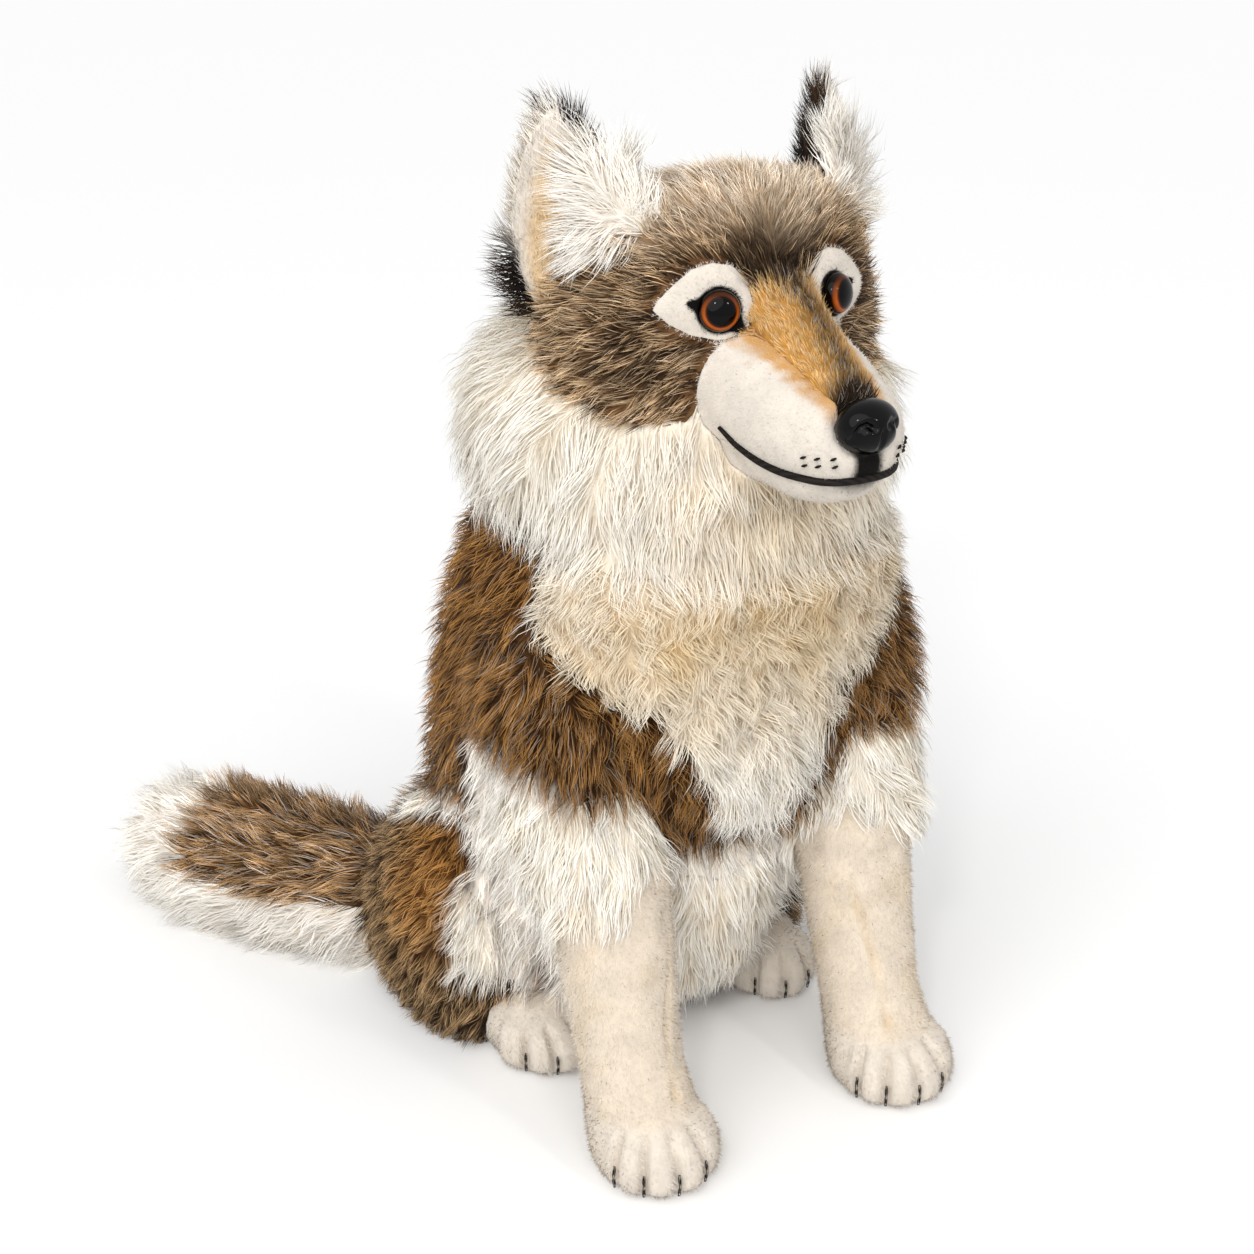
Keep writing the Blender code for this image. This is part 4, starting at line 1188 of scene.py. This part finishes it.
def nose_point(turn, lat):
    """Place on the nose across, up and forward, with its nostrils and the groove under its tip."""
    u, v = math.cos(turn) * math.cos(lat), math.sin(turn) * math.cos(lat)
    front = math.sin(lat)
    x = u * (NOSE_WIDE * (1 + 0.10 * v))
    z = v * (NOSE_TALL * (1.0 if v > 0 else 0.96))
    y = front * (NOSE_FRONT if front > 0 else NOSE_BACK)
    if front > -0.25:
        for s in (-1, 1):
            gap = path_place(np.array([(x, z)]), NOSTRIL * (s, 1))[0][0]
            y -= NOSTRIL_DEPTH * math.exp(-(gap / 1.7) ** 2)
        if v < 0.1:
            y -= GROOVE_DEPTH * math.exp(-(x / 1.0) ** 2) * min(1.0, (0.1 - v) * 3)
    return x, z, y


def make_nose():
    """Broad moulded nose with two comma nostrils and a groove under its tip."""
    axis = facing(0.0, NOSE_LIFT)
    across = np.array((1.0, 0.0, 0.0))
    upward = np.cross(across, -axis)
    verts = []
    for along, radius in NOSE_STEM:
        verts += ring_points(NOSE_CENTRE + axis * along, across, upward, radius, NOSE_AROUND)
    for r in range(NOSE_ROWS):
        lat = -math.pi / 2 + 0.22 + (math.pi - 0.24) * r / (NOSE_ROWS - 1)
        for k in range(NOSE_AROUND):
            x, z, y = nose_point(2 * math.pi * k / NOSE_AROUND, lat)
            verts.append((NOSE_CENTRE + across * x + upward * z + axis * y) * MM)
    rings = NOSE_ROWS + len(NOSE_STEM)
    obj = new_object("nose_moulding", verts, ring_faces(rings, NOSE_AROUND))
    weld(obj)
    own_piece(obj, "nose_plastic", moulded_nose_material(), "nose")


LIP = ((-39.8, -163, 377.5), (-37.2, -171, 372), (-34.2, -184, 368), (-31.2, -197, 366),
       (-25.8, -209.5, 364.5), (-17.5, -218.5, 363.5), (-8.5, -223.2, 363), (0, -225, 363))
WHISKERS = ((27.8, -213, 372), (28.5, -213, 376), (24.4, -218, 376), (23.8, -218, 372),
            (17.3, -222, 372), (18.1, -222, 376))


def on_skin(point, out_mm):
    """A point in millimetres brought to the skin and lifted off it."""
    hit, normal, _, _ = skin_tree.find_nearest(Vector(point) * MM)
    return np.array(hit) / MM + np.array(normal) * out_mm, np.array(normal)


def tube(path, radii, sides):
    """Vertices and faces of a round cord along a path, in millimetres."""
    path = np.array(path)
    way = unit(np.gradient(path, axis=0))
    verts = []
    for q, d, r in zip(path, way, radii):
        across = unit(np.cross(d, (0.1, 0.3, 0.95)))
        verts += ring_points(q, across, np.cross(d, across), r, sides)
    return verts, ring_faces(len(path), sides)


def make_lip():
    """Black cord of the mouth, laid along the skin."""
    half = [np.array(q, float) for q in LIP]
    full = half + [q * np.array((-1, 1, 1)) for q in reversed(half[:-1])]
    full = np.array(full)
    at = np.linspace(0, len(full) - 1, 90)
    path = np.stack([np.interp(at, np.arange(len(full)), full[:, k]) for k in range(3)], 1)
    path = np.array([on_skin(q, 0.9)[0] for q in path])
    for _ in range(4):
        path[1:-1] = (path[:-2] + path[2:] + 2 * path[1:-1]) / 4
    share = np.abs(np.linspace(-1, 1, len(path)))
    radii = 1.75 - 0.9 * share ** 4
    verts, faces = tube(path, radii, 10)
    own_piece(new_object("lip_cord", verts, faces), "thread", THREAD, "lip_line")


def make_whiskers():
    """Six short stitches on each side of the lip."""
    verts, faces = [], []
    for s in SIDES.values():
        for x, y, z in WHISKERS:
            middle, n = on_skin((s * x, y, z), 1.0)
            lean = unit(np.cross(n, (0, 0, 1))) * 1.3 + np.array((0, 0, -0.5))
            v, f = tube([middle - lean, middle + n * 0.3, middle + lean], (0.35, 0.8, 0.35), 6)
            faces += [tuple(i + len(verts) for i in face) for face in f]
            verts += v
    own_piece(new_object("whisker_stitches", verts, faces), "thread", THREAD)


def refinish(obj, material):
    obj.data.materials.clear()
    obj.data.materials.append(material)


def finish_nodes():
    """Rounder claw stitches in thread, and washers in their plastic."""
    for name in THREADS:
        if name != "lip_line":
            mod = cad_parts[name].modifiers.new("round", "SUBSURF")
            mod.levels = mod.render_levels = 2
            refinish(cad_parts[name], THREAD)
    for name in WASHERS:
        refinish(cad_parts[name], washer_material("moulded_polypropylene_" + name))


make_eyes()
make_nose()
make_lip()
make_whiskers()
finish_nodes()


# Floor, light and camera

def seen_rays(tree, *kinds):
    """1 for rays of the given kinds, otherwise 0."""
    ray = add_node(tree, "ShaderNodeLightPath")
    seen = ray.outputs[kinds[0]]
    for kind in kinds[1:]:
        links = {0: seen, 1: ray.outputs[kind]}
        seen = add_node(tree, "ShaderNodeMath", (), links, operation="MAXIMUM").outputs[0]
    return seen


def make_stage():
    """White floor and room for the camera, and greyer ones for the light that they throw back."""
    floor = new_object("floor", [(-9, -9, 0), (9, -9, 0), (9, 9, 0), (-9, 9, 0)], [(0, 1, 2, 3)])
    mat, tree, shader = new_material("matt_paper_floor", {
        "Roughness": 0.9, "Specular IOR Level": 0.0,
    })
    seen = seen_rays(tree, "Is Camera Ray", "Is Glossy Ray")
    colour = add_node(
        tree, "ShaderNodeMix", {FIRST: linear("DEDEDE"), SECOND: linear("FFFFFF")},
        {FACTOR: seen}, data_type="RGBA",
    )
    tree.links.new(colour.outputs[MIXED], shader.inputs["Base Color"])
    floor.data.materials.append(mat)

    world = bpy.data.worlds.new("studio")
    bpy.context.scene.world = world
    world.use_nodes = True
    tree = world.node_tree
    tree.nodes.clear()
    seen = seen_rays(tree, "Is Camera Ray", "Is Glossy Ray", "Is Transmission Ray")
    level = add_node(tree, "ShaderNodeMapRange", {1: 0.0, 2: 1.0, 3: 0.63, 4: 1.0}, {0: seen})
    back = add_node(
        tree, "ShaderNodeBackground", {"Color": (1, 1, 1, 1)}, {"Strength": level.outputs[0]},
    )
    out = add_node(tree, "ShaderNodeOutputWorld")
    tree.links.new(back.outputs[0], out.inputs["Surface"])


def aim_object(obj, place, aim):
    """Put an object at a place and point it at another."""
    obj.location = place
    obj.rotation_mode = "QUATERNION"
    obj.rotation_quaternion = (Vector(aim) - Vector(place)).to_track_quat("-Z", "Y")


LAMP_AIM = (0, -0.1, 0.35)
# Name, place in metres, width in metres and power in watts.
LAMPS = (
    ("key_softbox", (-1.1, -1.3, 1.5), 0.2, 6.0),
    ("front_softbox", (0.35, -1.7, 1.3), 0.18, 4.0),
)
SKY_STRENGTH, SKY_WIDTH, SKY_TURN = 1.75, 70, (32, -44, 0)
CAMERA_PLACE = (-0.5223, -0.9030, 0.6512)
CAMERA_AIM = (0.0, -0.0194, 0.2233)
CAMERA_LENS = 60.09


def make_lights():
    """A wide soft sky from above on one side, and two small softboxes for the highlights."""
    sky = bpy.data.lights.new("wide_sky", "SUN")
    sky.energy = SKY_STRENGTH
    sky.angle = math.radians(SKY_WIDTH)
    add_object("wide_sky", sky).rotation_euler = [math.radians(a) for a in SKY_TURN]
    for name, place, size, power in LAMPS:
        lamp = bpy.data.lights.new(name, "AREA")
        lamp.shape = "DISK"
        lamp.size = size
        lamp.energy = power
        aim_object(add_object(name, lamp), place, LAMP_AIM)


def make_camera():
    data = bpy.data.cameras.new("camera")
    data.sensor_width = 36.0
    data.lens = CAMERA_LENS
    data.clip_start, data.clip_end = 0.05, 60.0
    obj = add_object("camera", data)
    aim_object(obj, CAMERA_PLACE, CAMERA_AIM)
    bpy.context.scene.camera = obj


make_stage()
make_lights()
make_camera()
bpy.context.scene.view_settings.view_transform = "Standard"
print("triangles", sum(triangles.values()), "largest", max(triangles, key=triangles.get),
      max(triangles.values()))

bpy.context.view_layer.update()
